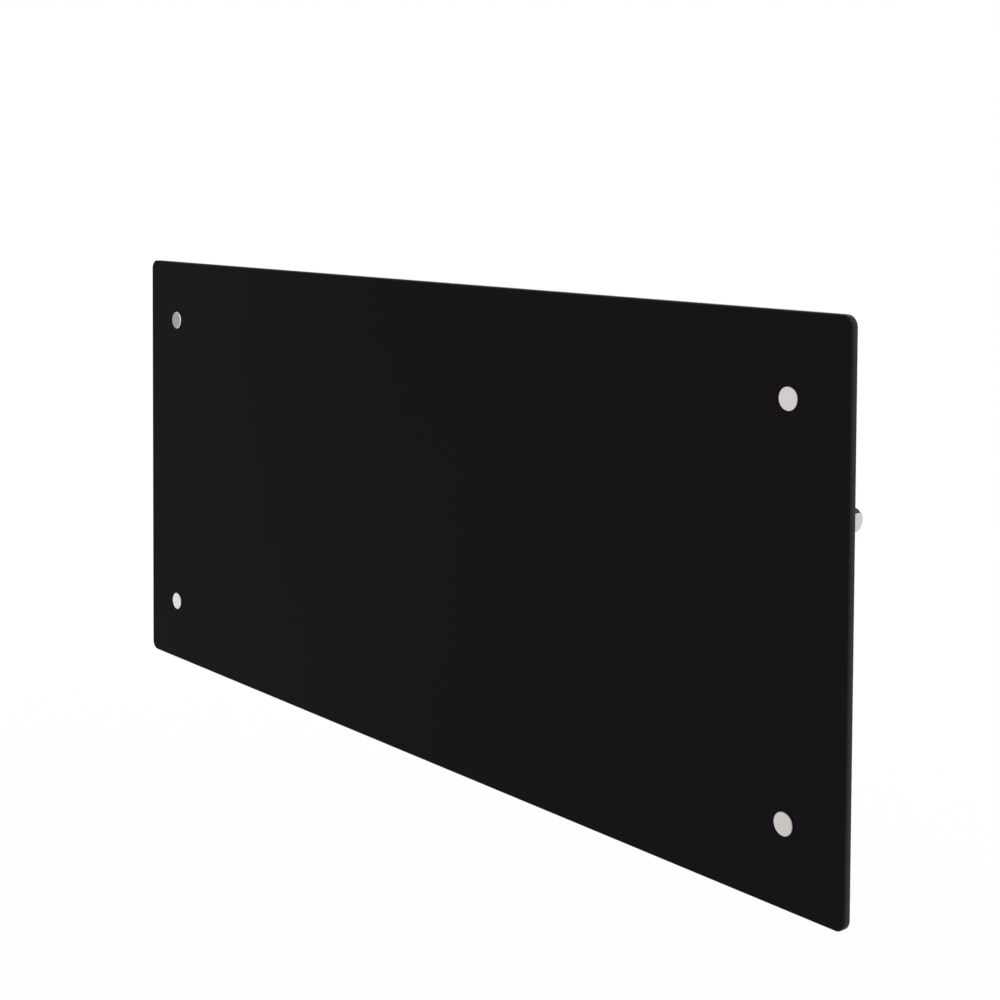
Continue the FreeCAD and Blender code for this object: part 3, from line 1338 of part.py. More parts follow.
CLIP_SHARES = (-0.6, 0, 0.6)
clips = []
for share in CLIP_SHARES:
    start = f"case_x * {share} - clip_length / 2"
    clip_block = box("clip_block", (start, "y_inside", "low_lead_z - clip_height / 2"),
                     ("clip_length", "element_y - y_inside + clip_height / 2", "clip_height"))
    clip_bore = rod("clip_bore", "+x", (start, "element_y", "low_lead_z"),
                    "lead_dia / 2 + hole_clear", "clip_length")
    clips.append(cut("lead_clip", clip_block, [clip_bore]))
node(together("lead_clips", clips))

doc.recompute()
for item in doc.Objects:
    if {"Invalid", "Error"} & set(item.State):
        raise RuntimeError(f"{item.Label} did not compute: {item.State}")
for item in NODES:
    if item.Shape.isNull() or not item.Shape.isValid() or not item.Shape.Solids:
        raise RuntimeError(f"{item.Label} has no valid solid")

os.makedirs("parts", exist_ok=True)
for item in NODES:
    item.Shape.exportStep(f"parts/{item.Label}.step")
print(len(NODES), "nodes written")
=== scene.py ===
import bpy
from mathutils import Matrix, Vector


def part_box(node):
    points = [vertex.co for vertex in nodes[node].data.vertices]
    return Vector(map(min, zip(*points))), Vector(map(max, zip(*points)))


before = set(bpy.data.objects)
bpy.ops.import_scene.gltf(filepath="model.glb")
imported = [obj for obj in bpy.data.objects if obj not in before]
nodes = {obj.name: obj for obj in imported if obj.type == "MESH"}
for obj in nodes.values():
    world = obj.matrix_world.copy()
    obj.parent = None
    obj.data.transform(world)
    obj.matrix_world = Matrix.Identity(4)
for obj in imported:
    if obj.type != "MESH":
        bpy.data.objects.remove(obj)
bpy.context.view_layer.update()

# Wall bracket: two flat rails and two folded channels of 2 mm steel, which are riveted together
# and screwed to the wall. It is powder coated in mid grey, with the orange peel of baked paint.

BRACKET_GREY = (0.30, 0.30, 0.31)
PAINT_CLOUD_SIZE = 0.05
SHEET_EDGE = 0.0005
PAINT_RUB = 1.5
RUB_STARTS = 0.97
RUB_FULL = 0.80
SPOT_LOW = 0.3
SPOT_HIGH = 0.7
SOFT_DETAIL = 2.0
SUM_OF_BOTH = 2.0
EDGE_SAMPLES = 4


def start_finish(name):
    """A new material, its node tree, its shader and the piece's own coordinates in metres."""
    material = bpy.data.materials.new(name)
    material.use_nodes = True
    tree = material.node_tree
    shader = tree.nodes["Principled BSDF"]
    coords = tree.nodes.new("ShaderNodeTexCoord").outputs["Object"]
    return material, tree, shader, coords


def opaque(colour, lightness=1.0):
    """A colour as a node takes it, made darker or lighter by a factor."""
    return (*[part * lightness for part in colour], 1.0)


def speckle(tree, coords, size, detail=SOFT_DETAIL):
    """Soft random spots of about the given size, from 0 to 1."""
    noise = tree.nodes.new("ShaderNodeTexNoise")
    noise.inputs["Scale"].default_value = 1.0 / size
    noise.inputs["Detail"].default_value = detail
    tree.links.new(coords, noise.inputs["Vector"])
    return noise.outputs["Fac"]


def both(tree, broad, fine):
    """The mean of broad and fine spots."""
    total = tree.nodes.new("ShaderNodeMath")
    total.operation = "ADD"
    tree.links.new(broad, total.inputs[0])
    tree.links.new(fine, total.inputs[1])
    mean = tree.nodes.new("ShaderNodeMapRange")
    mean.inputs["From Max"].default_value = SUM_OF_BOTH
    tree.links.new(total.outputs["Value"], mean.inputs["Value"])
    return mean.outputs["Result"]


def tint(tree, shader, spots, colour, mottle):
    """The colour of a surface, a little darker and lighter from spot to spot."""
    ramp = tree.nodes.new("ShaderNodeValToRGB")
    dark, light = ramp.color_ramp.elements
    dark.position = SPOT_LOW
    dark.color = opaque(colour, 1.0 - mottle)
    light.position = SPOT_HIGH
    light.color = opaque(colour, 1.0 + mottle)
    tree.links.new(spots, ramp.inputs["Fac"])
    tree.links.new(ramp.outputs["Color"], shader.inputs["Base Color"])


def gloss(tree, shader, spots, roughness):
    """The roughness of a surface, between two limits from spot to spot."""
    smoothest, roughest = roughness
    limits = tree.nodes.new("ShaderNodeMapRange")
    limits.inputs["From Min"].default_value = SPOT_LOW
    limits.inputs["From Max"].default_value = SPOT_HIGH
    limits.inputs["To Min"].default_value = smoothest
    limits.inputs["To Max"].default_value = roughest
    tree.links.new(spots, limits.inputs["Value"])
    tree.links.new(limits.outputs["Result"], shader.inputs["Roughness"])


def relief(tree, shader, height, depth, edge):
    """Fine relief of a given depth, on edges that are broken by a small radius."""
    broken = tree.nodes.new("ShaderNodeBevel")
    broken.samples = EDGE_SAMPLES
    broken.inputs["Radius"].default_value = edge
    bump = tree.nodes.new("ShaderNodeBump")
    bump.inputs["Distance"].default_value = depth
    tree.links.new(broken.outputs["Normal"], bump.inputs["Normal"])
    tree.links.new(height, bump.inputs["Height"])
    tree.links.new(bump.outputs["Normal"], shader.inputs["Normal"])
    return broken.outputs["Normal"]


def rub_edges(tree, shader, broken, colour):
    """Lighten the paint where it thins over an edge, which is where the broken normal turns."""
    turn = tree.nodes.new("ShaderNodeVectorMath")
    turn.operation = "DOT_PRODUCT"
    tree.links.new(broken, turn.inputs[0])
    tree.links.new(tree.nodes.new("ShaderNodeNewGeometry").outputs["Normal"], turn.inputs[1])
    worn = tree.nodes.new("ShaderNodeMapRange")
    worn.inputs["From Min"].default_value = RUB_STARTS
    worn.inputs["From Max"].default_value = RUB_FULL
    tree.links.new(turn.outputs["Value"], worn.inputs["Value"])
    mix = tree.nodes.new("ShaderNodeMixRGB")
    mix.inputs["Color2"].default_value = opaque(colour, PAINT_RUB)
    tree.links.new(worn.outputs["Result"], mix.inputs["Fac"])
    tree.links.new(shader.inputs["Base Color"].links[0].from_socket, mix.inputs["Color1"])
    tree.links.new(mix.outputs["Color"], shader.inputs["Base Color"])


def powder_coat(name, colour, mottle, roughness, grain_size, grain_depth):
    """Baked powder paint: even colour, faint clouding, a grained skin and thinner paint on edges."""
    material, tree, shader, coords = start_finish(name)
    grain = speckle(tree, coords, grain_size)
    spots = both(tree, speckle(tree, coords, PAINT_CLOUD_SIZE), grain)
    tint(tree, shader, spots, colour, mottle)
    gloss(tree, shader, spots, roughness)
    broken = relief(tree, shader, grain, grain_depth, SHEET_EDGE)
    rub_edges(tree, shader, broken, colour)
    return material


def dress(names, *finishes):
    """Give the named pieces their finish in place of the plain one that they came with."""
    for name in names:
        slots = nodes[name].data.materials
        slots.clear()
        for finish in finishes:
            slots.append(finish)


bracket_paint = powder_coat("bracket powder coat", BRACKET_GREY, mottle=0.13, roughness=(0.42, 0.54),
                            grain_size=0.0022, grain_depth=0.00010)
dress(["lower_rail", "upper_rail", "left_upright", "right_upright"], bracket_paint)

# Rivets and screws of the bracket and the casing: small steel parts with bright zinc plating,
# which shows as a pale grey with a slight blue cast and soft clouds on the heads.

ZINC_GREY = (0.52, 0.53, 0.55)
PLATING_CLOUD_SIZE = 0.003
PLATING_MOTTLE = 0.14
PLATING_EDGE = 0.0002
SCRATCH_SIZE = 0.0008
SCRATCH_DETAIL = 4.0
PLATING_GRAIN_SIZE = 0.0003
PLATING_GRAIN_DEPTH = 0.00001


def plating(name, colour, roughness):
    """A thin bright metal plating with clouds and fine scratches."""
    material, tree, shader, coords = start_finish(name)
    shader.inputs["Metallic"].default_value = 1.0
    tint(tree, shader, speckle(tree, coords, PLATING_CLOUD_SIZE), colour, PLATING_MOTTLE)
    gloss(tree, shader, speckle(tree, coords, SCRATCH_SIZE, SCRATCH_DETAIL), roughness)
    grain = speckle(tree, coords, PLATING_GRAIN_SIZE)
    relief(tree, shader, grain, PLATING_GRAIN_DEPTH, PLATING_EDGE)
    return material


zinc = plating("bright zinc", ZINC_GREY, roughness=(0.28, 0.45))
dress(["bracket_rivets", "casing_rivets", "casing_screws"], zinc)

# Hangers: two clevises of galvanised sheet on the back of the casing, each with a steel pin that
# drops into the bracket's hooks. The flat crystals of the zinc show on them as patches.

GALVANISED_GREY = (0.45, 0.46, 0.47)
SPANGLE_SIZE = 0.006
SPANGLE_MOTTLE = 0.22
SPANGLE_ROUGHNESS = (0.34, 0.52)
SHEET_GRAIN_SIZE = 0.0006
SHEET_GRAIN_DEPTH = 0.00001


def galvanised(name, colour):
    """Hot dipped sheet: angular patches that differ in tone and gloss."""
    material, tree, shader, coords = start_finish(name)
    shader.inputs["Metallic"].default_value = 1.0
    crystals = tree.nodes.new("ShaderNodeTexVoronoi")
    crystals.inputs["Scale"].default_value = 1.0 / SPANGLE_SIZE
    tree.links.new(coords, crystals.inputs["Vector"])
    tint(tree, shader, crystals.outputs["Color"], colour, SPANGLE_MOTTLE)
    gloss(tree, shader, crystals.outputs["Color"], SPANGLE_ROUGHNESS)
    relief(tree, shader, speckle(tree, coords, SHEET_GRAIN_SIZE), SHEET_GRAIN_DEPTH, SHEET_EDGE)
    return material


bare_sheet = galvanised("galvanised sheet", GALVANISED_GREY)
dress(["left_hanger", "right_hanger"], bare_sheet)
dress(["hanger_pins"], zinc)

# Bumper pads: two strips of soft black rubber, glued low on the rear cover, which rest against
# the bracket and keep the heater upright. Their skin is dull and slightly dusty.

RUBBER_BLACK = (0.022, 0.022, 0.023)
FLOW_SIZE = 0.012


def moulded(name, colour, mottle, roughness, grain_size, grain_depth, edge):
    """A moulding whose tool leaves a fine grain on it."""
    material, tree, shader, coords = start_finish(name)
    grain = speckle(tree, coords, grain_size)
    spots = both(tree, speckle(tree, coords, FLOW_SIZE), grain)
    tint(tree, shader, spots, colour, mottle)
    gloss(tree, shader, spots, roughness)
    relief(tree, shader, grain, grain_depth, edge)
    return material


rubber = moulded("soft rubber", RUBBER_BLACK, mottle=0.25, roughness=(0.72, 0.88),
                 grain_size=0.0008, grain_depth=0.00008, edge=0.0005)
dress(["bumper_pads"], rubber)

# Casing: a folded front shell and a pressed rear cover of 1 mm steel, screwed together along
# their flanges. Both are powder coated in a deep grey with a finely pebbled skin.

CASING_GREY = (0.035, 0.036, 0.038)
casing_paint = powder_coat("casing powder coat", CASING_GREY, mottle=0.45, roughness=(0.44, 0.62),
                           grain_size=0.0012, grain_depth=0.00016)
dress(["front_shell", "rear_cover"], casing_paint)

# End caps: injection moulded black plastic, plugged into the ends of the shell and screwed to
# it. The tool was spark eroded, so that their faces carry an even matt grain.

PLASTIC_BLACK = (0.026, 0.026, 0.028)
black_plastic = moulded("black moulding", PLASTIC_BLACK, mottle=0.35, roughness=(0.40, 0.60),
                        grain_size=0.0007, grain_depth=0.00008, edge=0.0005)
dress(["left_end_cap", "right_end_cap"], black_plastic)

# Air grilles: slotted strips of the same black plastic, clipped behind the windows in the top
# and the bottom of the shell. Cold air enters below and warm air leaves above.

dress(["outlet_grille", "inlet_grille"], black_plastic)

# Heating element: an extruded aluminium bar with fins round a sheathed core. The die leaves
# fine lines along its length, and heat has dulled it.

ELEMENT_GREY = (0.50, 0.50, 0.50)
ELEMENT_ROUGHNESS = (0.40, 0.56)
ELEMENT_EDGE = 0.0003
DIE_LINE_SIZE = 0.0006
DIE_LINE_DETAIL = 3.0
DIE_LINE_DEPTH = 0.00002
DIE_LINE_MOTTLE = 0.10
ALONG_BAR = (0.02, 1.0, 1.0)
DULL_PATCH_SIZE = 0.02


def stretch(tree, coords, along):
    """Coordinates that are drawn out along some axes, for streaks and brushing."""
    mapping = tree.nodes.new("ShaderNodeMapping")
    mapping.inputs["Scale"].default_value = along
    tree.links.new(coords, mapping.inputs["Vector"])
    return mapping.outputs["Vector"]


def extruded_aluminium():
    """Dull aluminium with the lines of its die along it."""
    material, tree, shader, coords = start_finish("extruded aluminium")
    shader.inputs["Metallic"].default_value = 1.0
    die_lines = speckle(tree, stretch(tree, coords, ALONG_BAR), DIE_LINE_SIZE, DIE_LINE_DETAIL)
    tint(tree, shader, die_lines, ELEMENT_GREY, DIE_LINE_MOTTLE)
    gloss(tree, shader, speckle(tree, coords, DULL_PATCH_SIZE), ELEMENT_ROUGHNESS)
    relief(tree, shader, die_lines, DIE_LINE_DEPTH, ELEMENT_EDGE)
    return material


dress(["heating_element"], extruded_aluminium())

# Element ends: brass terminals on the wire of the element, in glazed cream ceramic bushes that
# keep the hot bar off its two galvanised supports.

BRASS_YELLOW = (0.70, 0.53, 0.24)
CERAMIC_CREAM = (0.78, 0.74, 0.66)
brass = plating("plain brass", BRASS_YELLOW, roughness=(0.25, 0.42))
ceramic = moulded("glazed ceramic", CERAMIC_CREAM, mottle=0.05, roughness=(0.16, 0.26),
                  grain_size=0.002, grain_depth=0.00002, edge=0.0006)
dress(["element_terminals"], brass)
dress(["element_bushes"], ceramic)
dress(["left_element_support", "right_element_support"], bare_sheet)

# Heat shield and cut-out: a galvanised wall between the element and the electronics, with rubber
# grommets round the leads, and a small sealed switch that opens if the casing gets too hot.

COMPONENT_BLACK = (0.035, 0.035, 0.040)
component_plastic = moulded("component moulding", COMPONENT_BLACK, mottle=0.15, roughness=(0.30, 0.42),
                            grain_size=0.0005, grain_depth=0.00003, edge=0.0003)
dress(["heat_shield"], bare_sheet)
dress(["lead_grommets"], rubber)
dress(["thermal_cutout"], component_plastic)

# Circuit boards: green glass laminate with a solder mask, under which the copper tracks show as
# slightly lighter runs. They stand on nylon spacers and are held by small zinc screws.

BOARD_GREEN = (0.022, 0.13, 0.055)
BOARD_EDGE = 0.0002
MASK_DARKER = 0.9
MASK_LIGHTER = 1.1
MASK_OVER_TRACK = 1.7
MASK_PATCH_SIZE = 0.004
MASK_ROUGHNESS = (0.26, 0.40)
TRACK_PITCH = 0.004
TRACK_SHARE = 0.12
TRACK_HEIGHT = 0.00003
QUARTER_TURN = 1.5708
NYLON_MILK = (0.74, 0.73, 0.69)


def solder_mask():
    """Green lacquer over a grid of raised tracks on an upright board."""
    material, tree, shader, coords = start_finish("solder mask")
    upright = tree.nodes.new("ShaderNodeMapping")
    upright.inputs["Rotation"].default_value = (QUARTER_TURN, 0.0, 0.0)
    tree.links.new(coords, upright.inputs["Vector"])
    tracks = tree.nodes.new("ShaderNodeTexBrick")
    tracks.inputs["Scale"].default_value = 1.0 / TRACK_PITCH
    tracks.inputs["Mortar Size"].default_value = TRACK_SHARE
    tracks.inputs["Color1"].default_value = opaque(BOARD_GREEN, MASK_DARKER)
    tracks.inputs["Color2"].default_value = opaque(BOARD_GREEN, MASK_LIGHTER)
    tracks.inputs["Mortar"].default_value = opaque(BOARD_GREEN, MASK_OVER_TRACK)
    tree.links.new(upright.outputs["Vector"], tracks.inputs["Vector"])
    tree.links.new(tracks.outputs["Color"], shader.inputs["Base Color"])
    gloss(tree, shader, speckle(tree, coords, MASK_PATCH_SIZE), MASK_ROUGHNESS)
    relief(tree, shader, tracks.outputs["Fac"], TRACK_HEIGHT, BOARD_EDGE)
    return material


nylon = moulded("natural nylon", NYLON_MILK, mottle=0.06, roughness=(0.38, 0.50),
                grain_size=0.0007, grain_depth=0.00003, edge=0.0003)
dress(["power_board", "control_board"], solder_mask())
dress(["board_spacers"], nylon)
dress(["board_screws"], zinc)

# Components of the boards: a relay and a supply module in black mouldings, a capacitor in a
# dark blue sleeve and a green terminal block, all soldered in place.

SLEEVE_BLUE = (0.018, 0.035, 0.110)
BLOCK_GREEN = (0.030, 0.190, 0.080)
sleeve = moulded("capacitor sleeve", SLEEVE_BLUE, mottle=0.10, roughness=(0.26, 0.36),
                 grain_size=0.0009, grain_depth=0.00002, edge=0.0003)
block_plastic = moulded("terminal moulding", BLOCK_GREEN, mottle=0.10, roughness=(0.34, 0.46),
                        grain_size=0.0006, grain_depth=0.00003, edge=0.0003)
dress(["relay", "power_supply"], component_plastic)
dress(["filter_capacitor"], sleeve)
dress(["terminal_block"], block_plastic)

# Leads: stranded copper in a buff silicone sheath that stands the heat of the casing, held to
# its walls by nylon clips.

LEAD_BUFF = (0.52, 0.49, 0.43)
sheath = moulded("lead sheath", LEAD_BUFF, mottle=0.12, roughness=(0.55, 0.70),
                 grain_size=0.0005, grain_depth=0.00003, edge=0.0003)
dress(["element_leads", "switch_leads", "cutout_lead", "board_link", "sensor_lead"], sheath)
dress(["lead_clips"], nylon)

# Room sensor: a black bead on its lead, held in a nylon clip at the bottom of the right end cap,
# where the cold air comes in.

dress(["room_sensor"], component_plastic)
dress(["sensor_holder"], nylon)

# Encoder: a black housing behind the end wall with a threaded bush and a nut through it. Its
# turned aluminium shaft carries the knob, and a nylon plunger springs it back after a push.

SHAFT_ALUMINIUM = (0.60, 0.59, 0.58)
shaft_metal = plating("turned shaft", SHAFT_ALUMINIUM, roughness=(0.26, 0.38))
dress(["encoder_body"], component_plastic)
dress(["encoder_nut"], zinc)
dress(["encoder_plunger"], nylon)
dress(["encoder_shaft"], shaft_metal)

# Control knob: a light grey moulding on the encoder's shaft, with a black segment let into the
# top of its face. Turning it sets the heat, and a push confirms it.

KNOB_GREY = (0.606, 0.600, 0.574)
KNOB_TOP_BLACK = (0.008, 0.008, 0.008)
knob_plastic = moulded("knob moulding", KNOB_GREY, mottle=0.06, roughness=(0.36, 0.46),
                       grain_size=0.0005, grain_depth=0.00003, edge=0.0003)
knob_top_plastic = moulded("knob top moulding", KNOB_TOP_BLACK, mottle=0.10, roughness=(0.36, 0.46),
                        grain_size=0.0005, grain_depth=0.00003, edge=0.0003)
dress(["control_knob"], knob_plastic)
dress(["knob_index"], knob_top_plastic)

# Mains switch: a black housing snapped into the end wall with brass tabs behind it, and a glossy
# black rocker on a pin across it.

ROCKER_BLACK = (0.030, 0.030, 0.033)
rocker_plastic = moulded("rocker moulding", ROCKER_BLACK, mottle=0.08, roughness=(0.20, 0.30),
                         grain_size=0.0009, grain_depth=0.00002, edge=0.0005)
dress(["switch_body"], black_plastic)
dress(["switch_terminals"], brass)
dress(["switch_rocker"], rocker_plastic)

# Cord gland: a black nylon bush under the right end, through which the supply cord enters, with
# its nut inside the casing.

dress(["cord_gland", "gland_nut"], black_plastic)

# Glass carriers: two folded steel strips across the ends of the casing, screwed to it and
# painted with it. They hold the studs of the caps and keep the pane off the hot shell.

dress(["left_glass_carrier", "right_glass_carrier"], casing_paint)

# Glass front: one toughened pane with a black coat, drilled for the four caps. Its faces are
# smooth and very dark. Its edges are ground, and show as a dull grey strip. Towards the front
# the strip is darkened by painted shade, which stands in for the shading of a rounded front edge.

GLASS_BLACK = (0.0076, 0.0065, 0.0081)
GLASS_SPECULAR = 0.008
GLASS_MOTTLE = 0.05
GLASS_ROUGHNESS = (0.05, 0.10)
GLASS_CLOUD_SIZE = 0.25
GLASS_SMEAR_SIZE = 0.09
GLASS_SMEAR_DETAIL = 4.0
# Edge greys: painted shade beside the front, the ground glass grey at the back.
EDGE_FRONT_PAINTED_SHADE = (0.0085, 0.0085, 0.0085)
EDGE_BACK_GREY = (0.040, 0.040, 0.039)
EDGE_SPECULAR = 0.05
EDGE_ROUGHNESS = (0.34, 0.48)
WHEEL_MARK_SIZE = 0.0005
WHEEL_MARK_DETAIL = 3.0
WHEEL_MARK_DEPTH = 0.00001
ALONG_EDGE = (0.1, 1.0, 0.1)
FACE_TURN = 0.95
FACE_SLOT = 0
EDGE_SLOT = 1


def black_glass():
    """The dark smooth face of the pane, with hardly any reflection."""
    material, tree, shader, coords = start_finish("black glass face")
    shader.inputs["Specular IOR Level"].default_value = GLASS_SPECULAR
    tint(tree, shader, speckle(tree, coords, GLASS_CLOUD_SIZE), GLASS_BLACK, GLASS_MOTTLE)
    gloss(tree, shader, speckle(tree, coords, GLASS_SMEAR_SIZE, GLASS_SMEAR_DETAIL), GLASS_ROUGHNESS)
    return material


def ground_edge_painted_shade():
    """The ground edge of the pane, with painted shade that makes it darker towards its front."""
    material, tree, shader, coords = start_finish("ground glass edge with painted shade")
    shader.inputs["Specular IOR Level"].default_value = EDGE_SPECULAR
    low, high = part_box("glass_panel")
    across = tree.nodes.new("ShaderNodeSeparateXYZ")
    tree.links.new(coords, across.inputs["Vector"])
    depth = tree.nodes.new("ShaderNodeMapRange")
    depth.inputs["From Min"].default_value = low[1]
    depth.inputs["From Max"].default_value = high[1]
    tree.links.new(across.outputs["Y"], depth.inputs["Value"])
    # The strip runs from painted shade at the front to the plain ground grey at the back.
    strip = tree.nodes.new("ShaderNodeValToRGB")
    front, back = strip.color_ramp.elements
    front.color = opaque(EDGE_FRONT_PAINTED_SHADE)
    back.color = opaque(EDGE_BACK_GREY)
    tree.links.new(depth.outputs["Result"], strip.inputs["Fac"])
    tree.links.new(strip.outputs["Color"], shader.inputs["Base Color"])
    wheel_marks = speckle(tree, stretch(tree, coords, ALONG_EDGE), WHEEL_MARK_SIZE, WHEEL_MARK_DETAIL)
    gloss(tree, shader, wheel_marks, EDGE_ROUGHNESS)
    bump = tree.nodes.new("ShaderNodeBump")
    bump.inputs["Distance"].default_value = WHEEL_MARK_DEPTH
    tree.links.new(wheel_marks, bump.inputs["Height"])
    tree.links.new(bump.outputs["Normal"], shader.inputs["Normal"])
    return material


dress(["glass_panel"], black_glass(), ground_edge_painted_shade())
for face in nodes["glass_panel"].data.polygons:
    face.material_index = FACE_SLOT if abs(face.normal.y) > FACE_TURN else EDGE_SLOT

# Glass caps: thin turned aluminium discs with a stud behind, screwed up from the back through
# the pane. Their faces are flat and satin, with the rings of the lathe tool. Each face has its own
# tone, which is painted light and shade on one metal: the upper left darkest, the lower left
# lightest. Three rims are painted dark, a painted reflection of the black glass, and the upper
# left rim is left bright as a painted highlight.

CAP_RADIUS = 0.007
CAP_EDGE = 0.0002
CAP_RING_PITCH = 0.00035
CAP_RING_DEPTH = 0.000006
CAP_RING_MOTTLE = 0.05
CAP_ROUGHNESS = (0.34, 0.44)
ACROSS_AXIS = (1.0, 0.0, 1.0)
# Rim colours: a painted dark reflection of the black glass, and a painted highlight.
RIM_PAINTED_DARK_REFLECTION = (0.20, 0.20, 0.20)
RIM_PAINTED_HIGHLIGHT = (0.95, 0.95, 0.95)
CAPS_IN_ROW = 2
# Per cap: its corner, a face tone of painted light and shade, and a rim of painted reflection or
# painted highlight.
CAPS = (("lower left", (0.770, 0.762, 0.748), RIM_PAINTED_DARK_REFLECTION),
        ("lower right", (0.620, 0.603, 0.575), RIM_PAINTED_DARK_REFLECTION),
        ("upper left", (0.350, 0.345, 0.338), RIM_PAINTED_HIGHLIGHT),
        ("upper right", (0.685, 0.640, 0.628), RIM_PAINTED_DARK_REFLECTION))


def turned_aluminium(name, colour, axis):
    """Satin aluminium with the rings of a lathe tool round four mirrored axes along Y."""
    material, tree, shader, coords = start_finish(name)
    shader.inputs["Metallic"].default_value = 1.0
    mirrored = tree.nodes.new("ShaderNodeVectorMath")
    mirrored.operation = "ABSOLUTE"
    tree.links.new(coords, mirrored.inputs[0])
    from_axis = tree.nodes.new("ShaderNodeVectorMath")
    from_axis.operation = "SUBTRACT"
    from_axis.inputs[1].default_value = axis
    tree.links.new(mirrored.outputs["Vector"], from_axis.inputs[0])
    radius = tree.nodes.new("ShaderNodeVectorMath")
    radius.operation = "LENGTH"
    tree.links.new(stretch(tree, from_axis.outputs["Vector"], ACROSS_AXIS), radius.inputs[0])
    rings = tree.nodes.new("ShaderNodeTexNoise")
    rings.noise_dimensions = "1D"
    rings.inputs["Scale"].default_value = 1.0 / CAP_RING_PITCH
    tree.links.new(radius.outputs["Value"], rings.inputs["W"])
    tint(tree, shader, rings.outputs["Fac"], colour, CAP_RING_MOTTLE)
    gloss(tree, shader, rings.outputs["Fac"], CAP_ROUGHNESS)
    relief(tree, shader, rings.outputs["Fac"], CAP_RING_DEPTH, CAP_EDGE)
    return material


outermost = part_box("glass_caps")[1]
cap_axis = (outermost[0] - CAP_RADIUS, 0.0, outermost[2] - CAP_RADIUS)
# The faces take the painted tones, the rims the painted reflection of the glass or the painted
# highlight.
cap_faces_painted_light = [turned_aluminium(corner + " cap face painted light", tone, cap_axis) for corner, tone, _ in CAPS]
cap_rims_painted_reflection = [turned_aluminium(corner + " cap rim painted reflection", rim, cap_axis) for corner, _, rim in CAPS]
dress(["glass_caps"], *cap_faces_painted_light, *cap_rims_painted_reflection)
for face in nodes["glass_caps"].data.polygons:
    cap = (face.center.x > 0.0) + CAPS_IN_ROW * (face.center.z > 0.0)
    is_front = face.normal.y < -FACE_TURN
    face.material_index = cap if is_front else cap + len(cap_faces_painted_light)

# Seats of the caps: thin grey nylon washers in front of the glass, nylon bushes in its holes,
# rubber washers behind it and zinc plated nuts on the studs.

WASHER_GREY = (0.20, 0.20, 0.20)
grey_nylon = moulded("washer nylon", WASHER_GREY, mottle=0.10, roughness=(0.40, 0.52),
                     grain_size=0.0007, grain_depth=0.00002, edge=0.0001)
dress(["glass_front_washers"], grey_nylon)
dress(["glass_bushes"], nylon)
dress(["glass_rear_washers"], rubber)
dress(["glass_nuts"], zinc)

# Floor: a wide pale sheet below the heater, which fades into the white surroundings and keeps
# the heater's soft shadow.

FLOOR_LEVEL = -0.60
FLOOR_REACH = 12.0
FLOOR_PALE = (0.90, 0.90, 0.90)
FLOOR_NEAR = 0.7
FLOOR_FAR = 2.4
FLOOR_FADE = 0.86


def sees_background(tree):
    """1 for rays from the camera and for those in reflections or through glass, otherwise 0."""
    path = tree.nodes.new("ShaderNodeLightPath")
    total = path.outputs["Is Camera Ray"]
    for kind in ("Is Glossy Ray", "Is Transmission Ray"):
        either = tree.nodes.new("ShaderNodeMath")
        either.operation = "MAXIMUM"
        tree.links.new(total, either.inputs[0])
        tree.links.new(path.outputs[kind], either.inputs[1])
        total = either.outputs["Value"]
    return total


def pale_floor():
    """A pale sheet that looks white, more so the further it lies from the heater."""
    material = bpy.data.materials.new("pale floor")
    material.use_nodes = True
    tree = material.node_tree
    tree.nodes.clear()
    reach = tree.nodes.new("ShaderNodeVectorMath")
    reach.operation = "LENGTH"
    tree.links.new(tree.nodes.new("ShaderNodeTexCoord").outputs["Object"], reach.inputs[0])
    fade = tree.nodes.new("ShaderNodeMapRange")
    fade.inputs["From Min"].default_value = FLOOR_NEAR
    fade.inputs["From Max"].default_value = FLOOR_FAR
    fade.inputs["To Min"].default_value = FLOOR_FADE
    tree.links.new(reach.outputs["Value"], fade.inputs["Value"])
    share = tree.nodes.new("ShaderNodeMath")
    share.operation = "MULTIPLY"
    tree.links.new(sees_background(tree), share.inputs[0])
    tree.links.new(fade.outputs["Result"], share.inputs[1])
    pale = tree.nodes.new("ShaderNodeBsdfDiffuse")
    pale.inputs["Color"].default_value = opaque(FLOOR_PALE)
    white = tree.nodes.new("ShaderNodeEmission")
    blend = tree.nodes.new("ShaderNodeMixShader")
    tree.links.new(share.outputs["Value"], blend.inputs["Fac"])
    tree.links.new(pale.outputs["BSDF"], blend.inputs[1])
    tree.links.new(white.outputs["Emission"], blend.inputs[2])
    output = tree.nodes.new("ShaderNodeOutputMaterial")
    tree.links.new(blend.outputs["Shader"], output.inputs["Surface"])
    return material


floor_mesh = bpy.data.meshes.new("floor")
floor_mesh.from_pydata([(x * FLOOR_REACH, y * FLOOR_REACH, FLOOR_LEVEL)
                        for x, y in ((-1, -1), (1, -1), (1, 1), (-1, 1))], [], [(0, 1, 2, 3)])
floor_mesh.materials.append(pale_floor())
floor = bpy.data.objects.new("floor", floor_mesh)
bpy.context.scene.collection.objects.link(floor)

# Surroundings: an even white studio, which lights the heater softly from all sides and is white
# to the eye and in reflections.

STUDIO_LIGHT = 0.68
STUDIO_WHITE = (1.0, 1.0, 1.0)

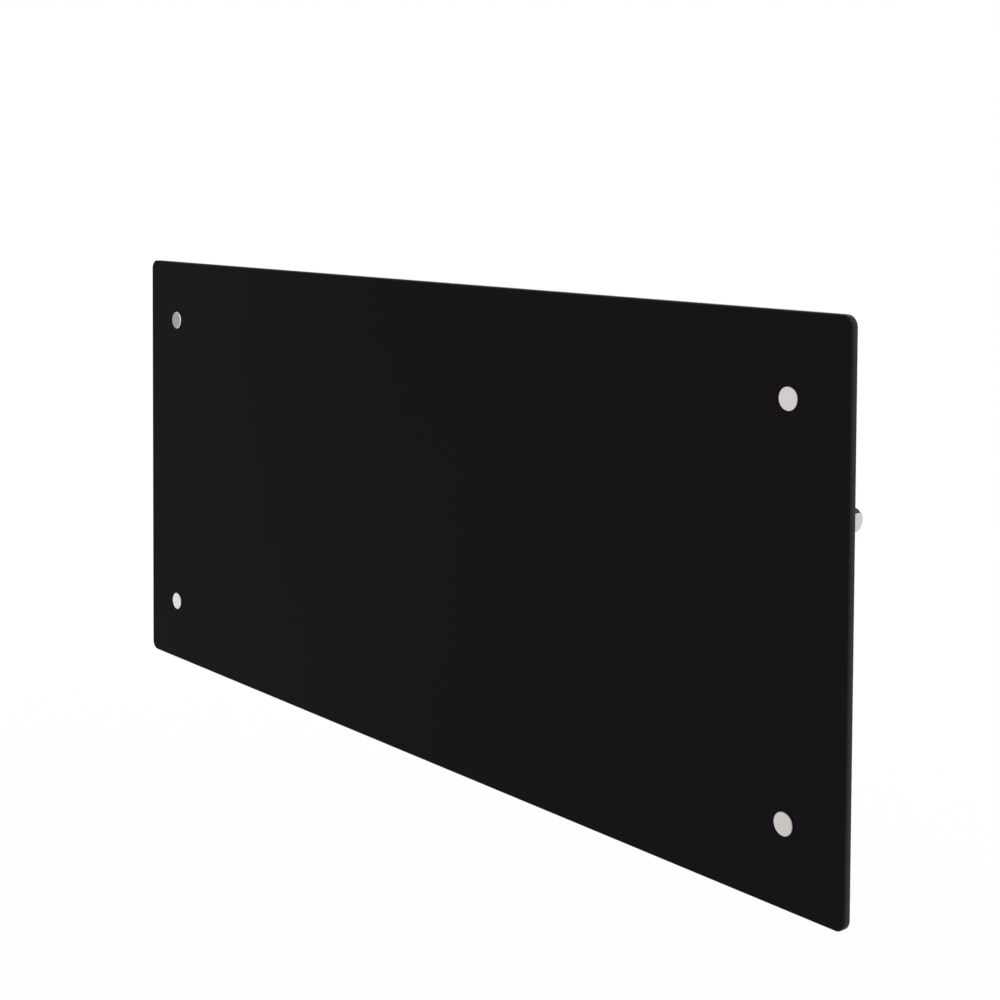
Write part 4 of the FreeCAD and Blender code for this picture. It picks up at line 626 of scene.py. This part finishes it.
world = bpy.data.worlds.new("white studio")
bpy.context.scene.world = world
world.use_nodes = True
tree = world.node_tree
tree.nodes.clear()
soft = tree.nodes.new("ShaderNodeBackground")
soft.inputs["Color"].default_value = opaque(STUDIO_WHITE)
soft.inputs["Strength"].default_value = STUDIO_LIGHT
seen = tree.nodes.new("ShaderNodeBackground")
seen.inputs["Color"].default_value = opaque(STUDIO_WHITE)
choice = tree.nodes.new("ShaderNodeMixShader")
tree.links.new(sees_background(tree), choice.inputs["Fac"])
tree.links.new(soft.outputs["Background"], choice.inputs[1])
tree.links.new(seen.outputs["Background"], choice.inputs[2])
output = tree.nodes.new("ShaderNodeOutputWorld")
tree.links.new(choice.outputs["Shader"], output.inputs["Surface"])

# Lamps: one large soft lamp above the right front, and a weaker and smaller one above the left
# back, so that the rear cover and the bracket show their folds.

LAMPS = (("key lamp", (2.1, -1.3, 2.0), 3.0, 52.0), ("back lamp", (-1.4, 1.8, 1.9), 1.4, 22.0))
for name, place, width, power in LAMPS:
    lamp = bpy.data.lights.new(name, "AREA")
    lamp.size = width
    lamp.energy = power
    holder = bpy.data.objects.new(name, lamp)
    holder.location = place
    holder.rotation_euler = (-Vector(place)).to_track_quat("-Z", "Y").to_euler()
    bpy.context.scene.collection.objects.link(holder)

# Camera: to the right of the heater and a little above it, nearly level, with the lens shifted
# down as in the photo so that upright edges stay almost parallel.

IMAGE_WIDTH = 1000.0
FOCAL_LENGTH = 1791.13
OPTICAL_AXIS_DROP = 252.10
SENSOR_WIDTH = 36.0
NEAREST_SEEN = 0.01
CAMERA_PLACE = Vector((1.00349, -0.84775, 0.24276))
CAMERA_RIGHT = Vector((0.63967, 0.76863, 0.00549))
CAMERA_DOWN = Vector((0.03520, -0.02217, -0.99914))
CAMERA_AHEAD = Vector((-0.76784, 0.63931, -0.04124))

lens = bpy.data.cameras.new("camera")
lens.sensor_width = SENSOR_WIDTH
lens.lens = SENSOR_WIDTH * FOCAL_LENGTH / IMAGE_WIDTH
lens.shift_y = (OPTICAL_AXIS_DROP - IMAGE_WIDTH / 2) / IMAGE_WIDTH
lens.clip_start = NEAREST_SEEN
camera = bpy.data.objects.new("camera", lens)
axes = Matrix((CAMERA_RIGHT, -CAMERA_DOWN, -CAMERA_AHEAD)).transposed()
camera.matrix_world = Matrix.Translation(CAMERA_PLACE) @ axes.to_4x4()
bpy.context.scene.collection.objects.link(camera)
bpy.context.scene.camera = camera
bpy.context.scene.view_settings.view_transform = "Standard"
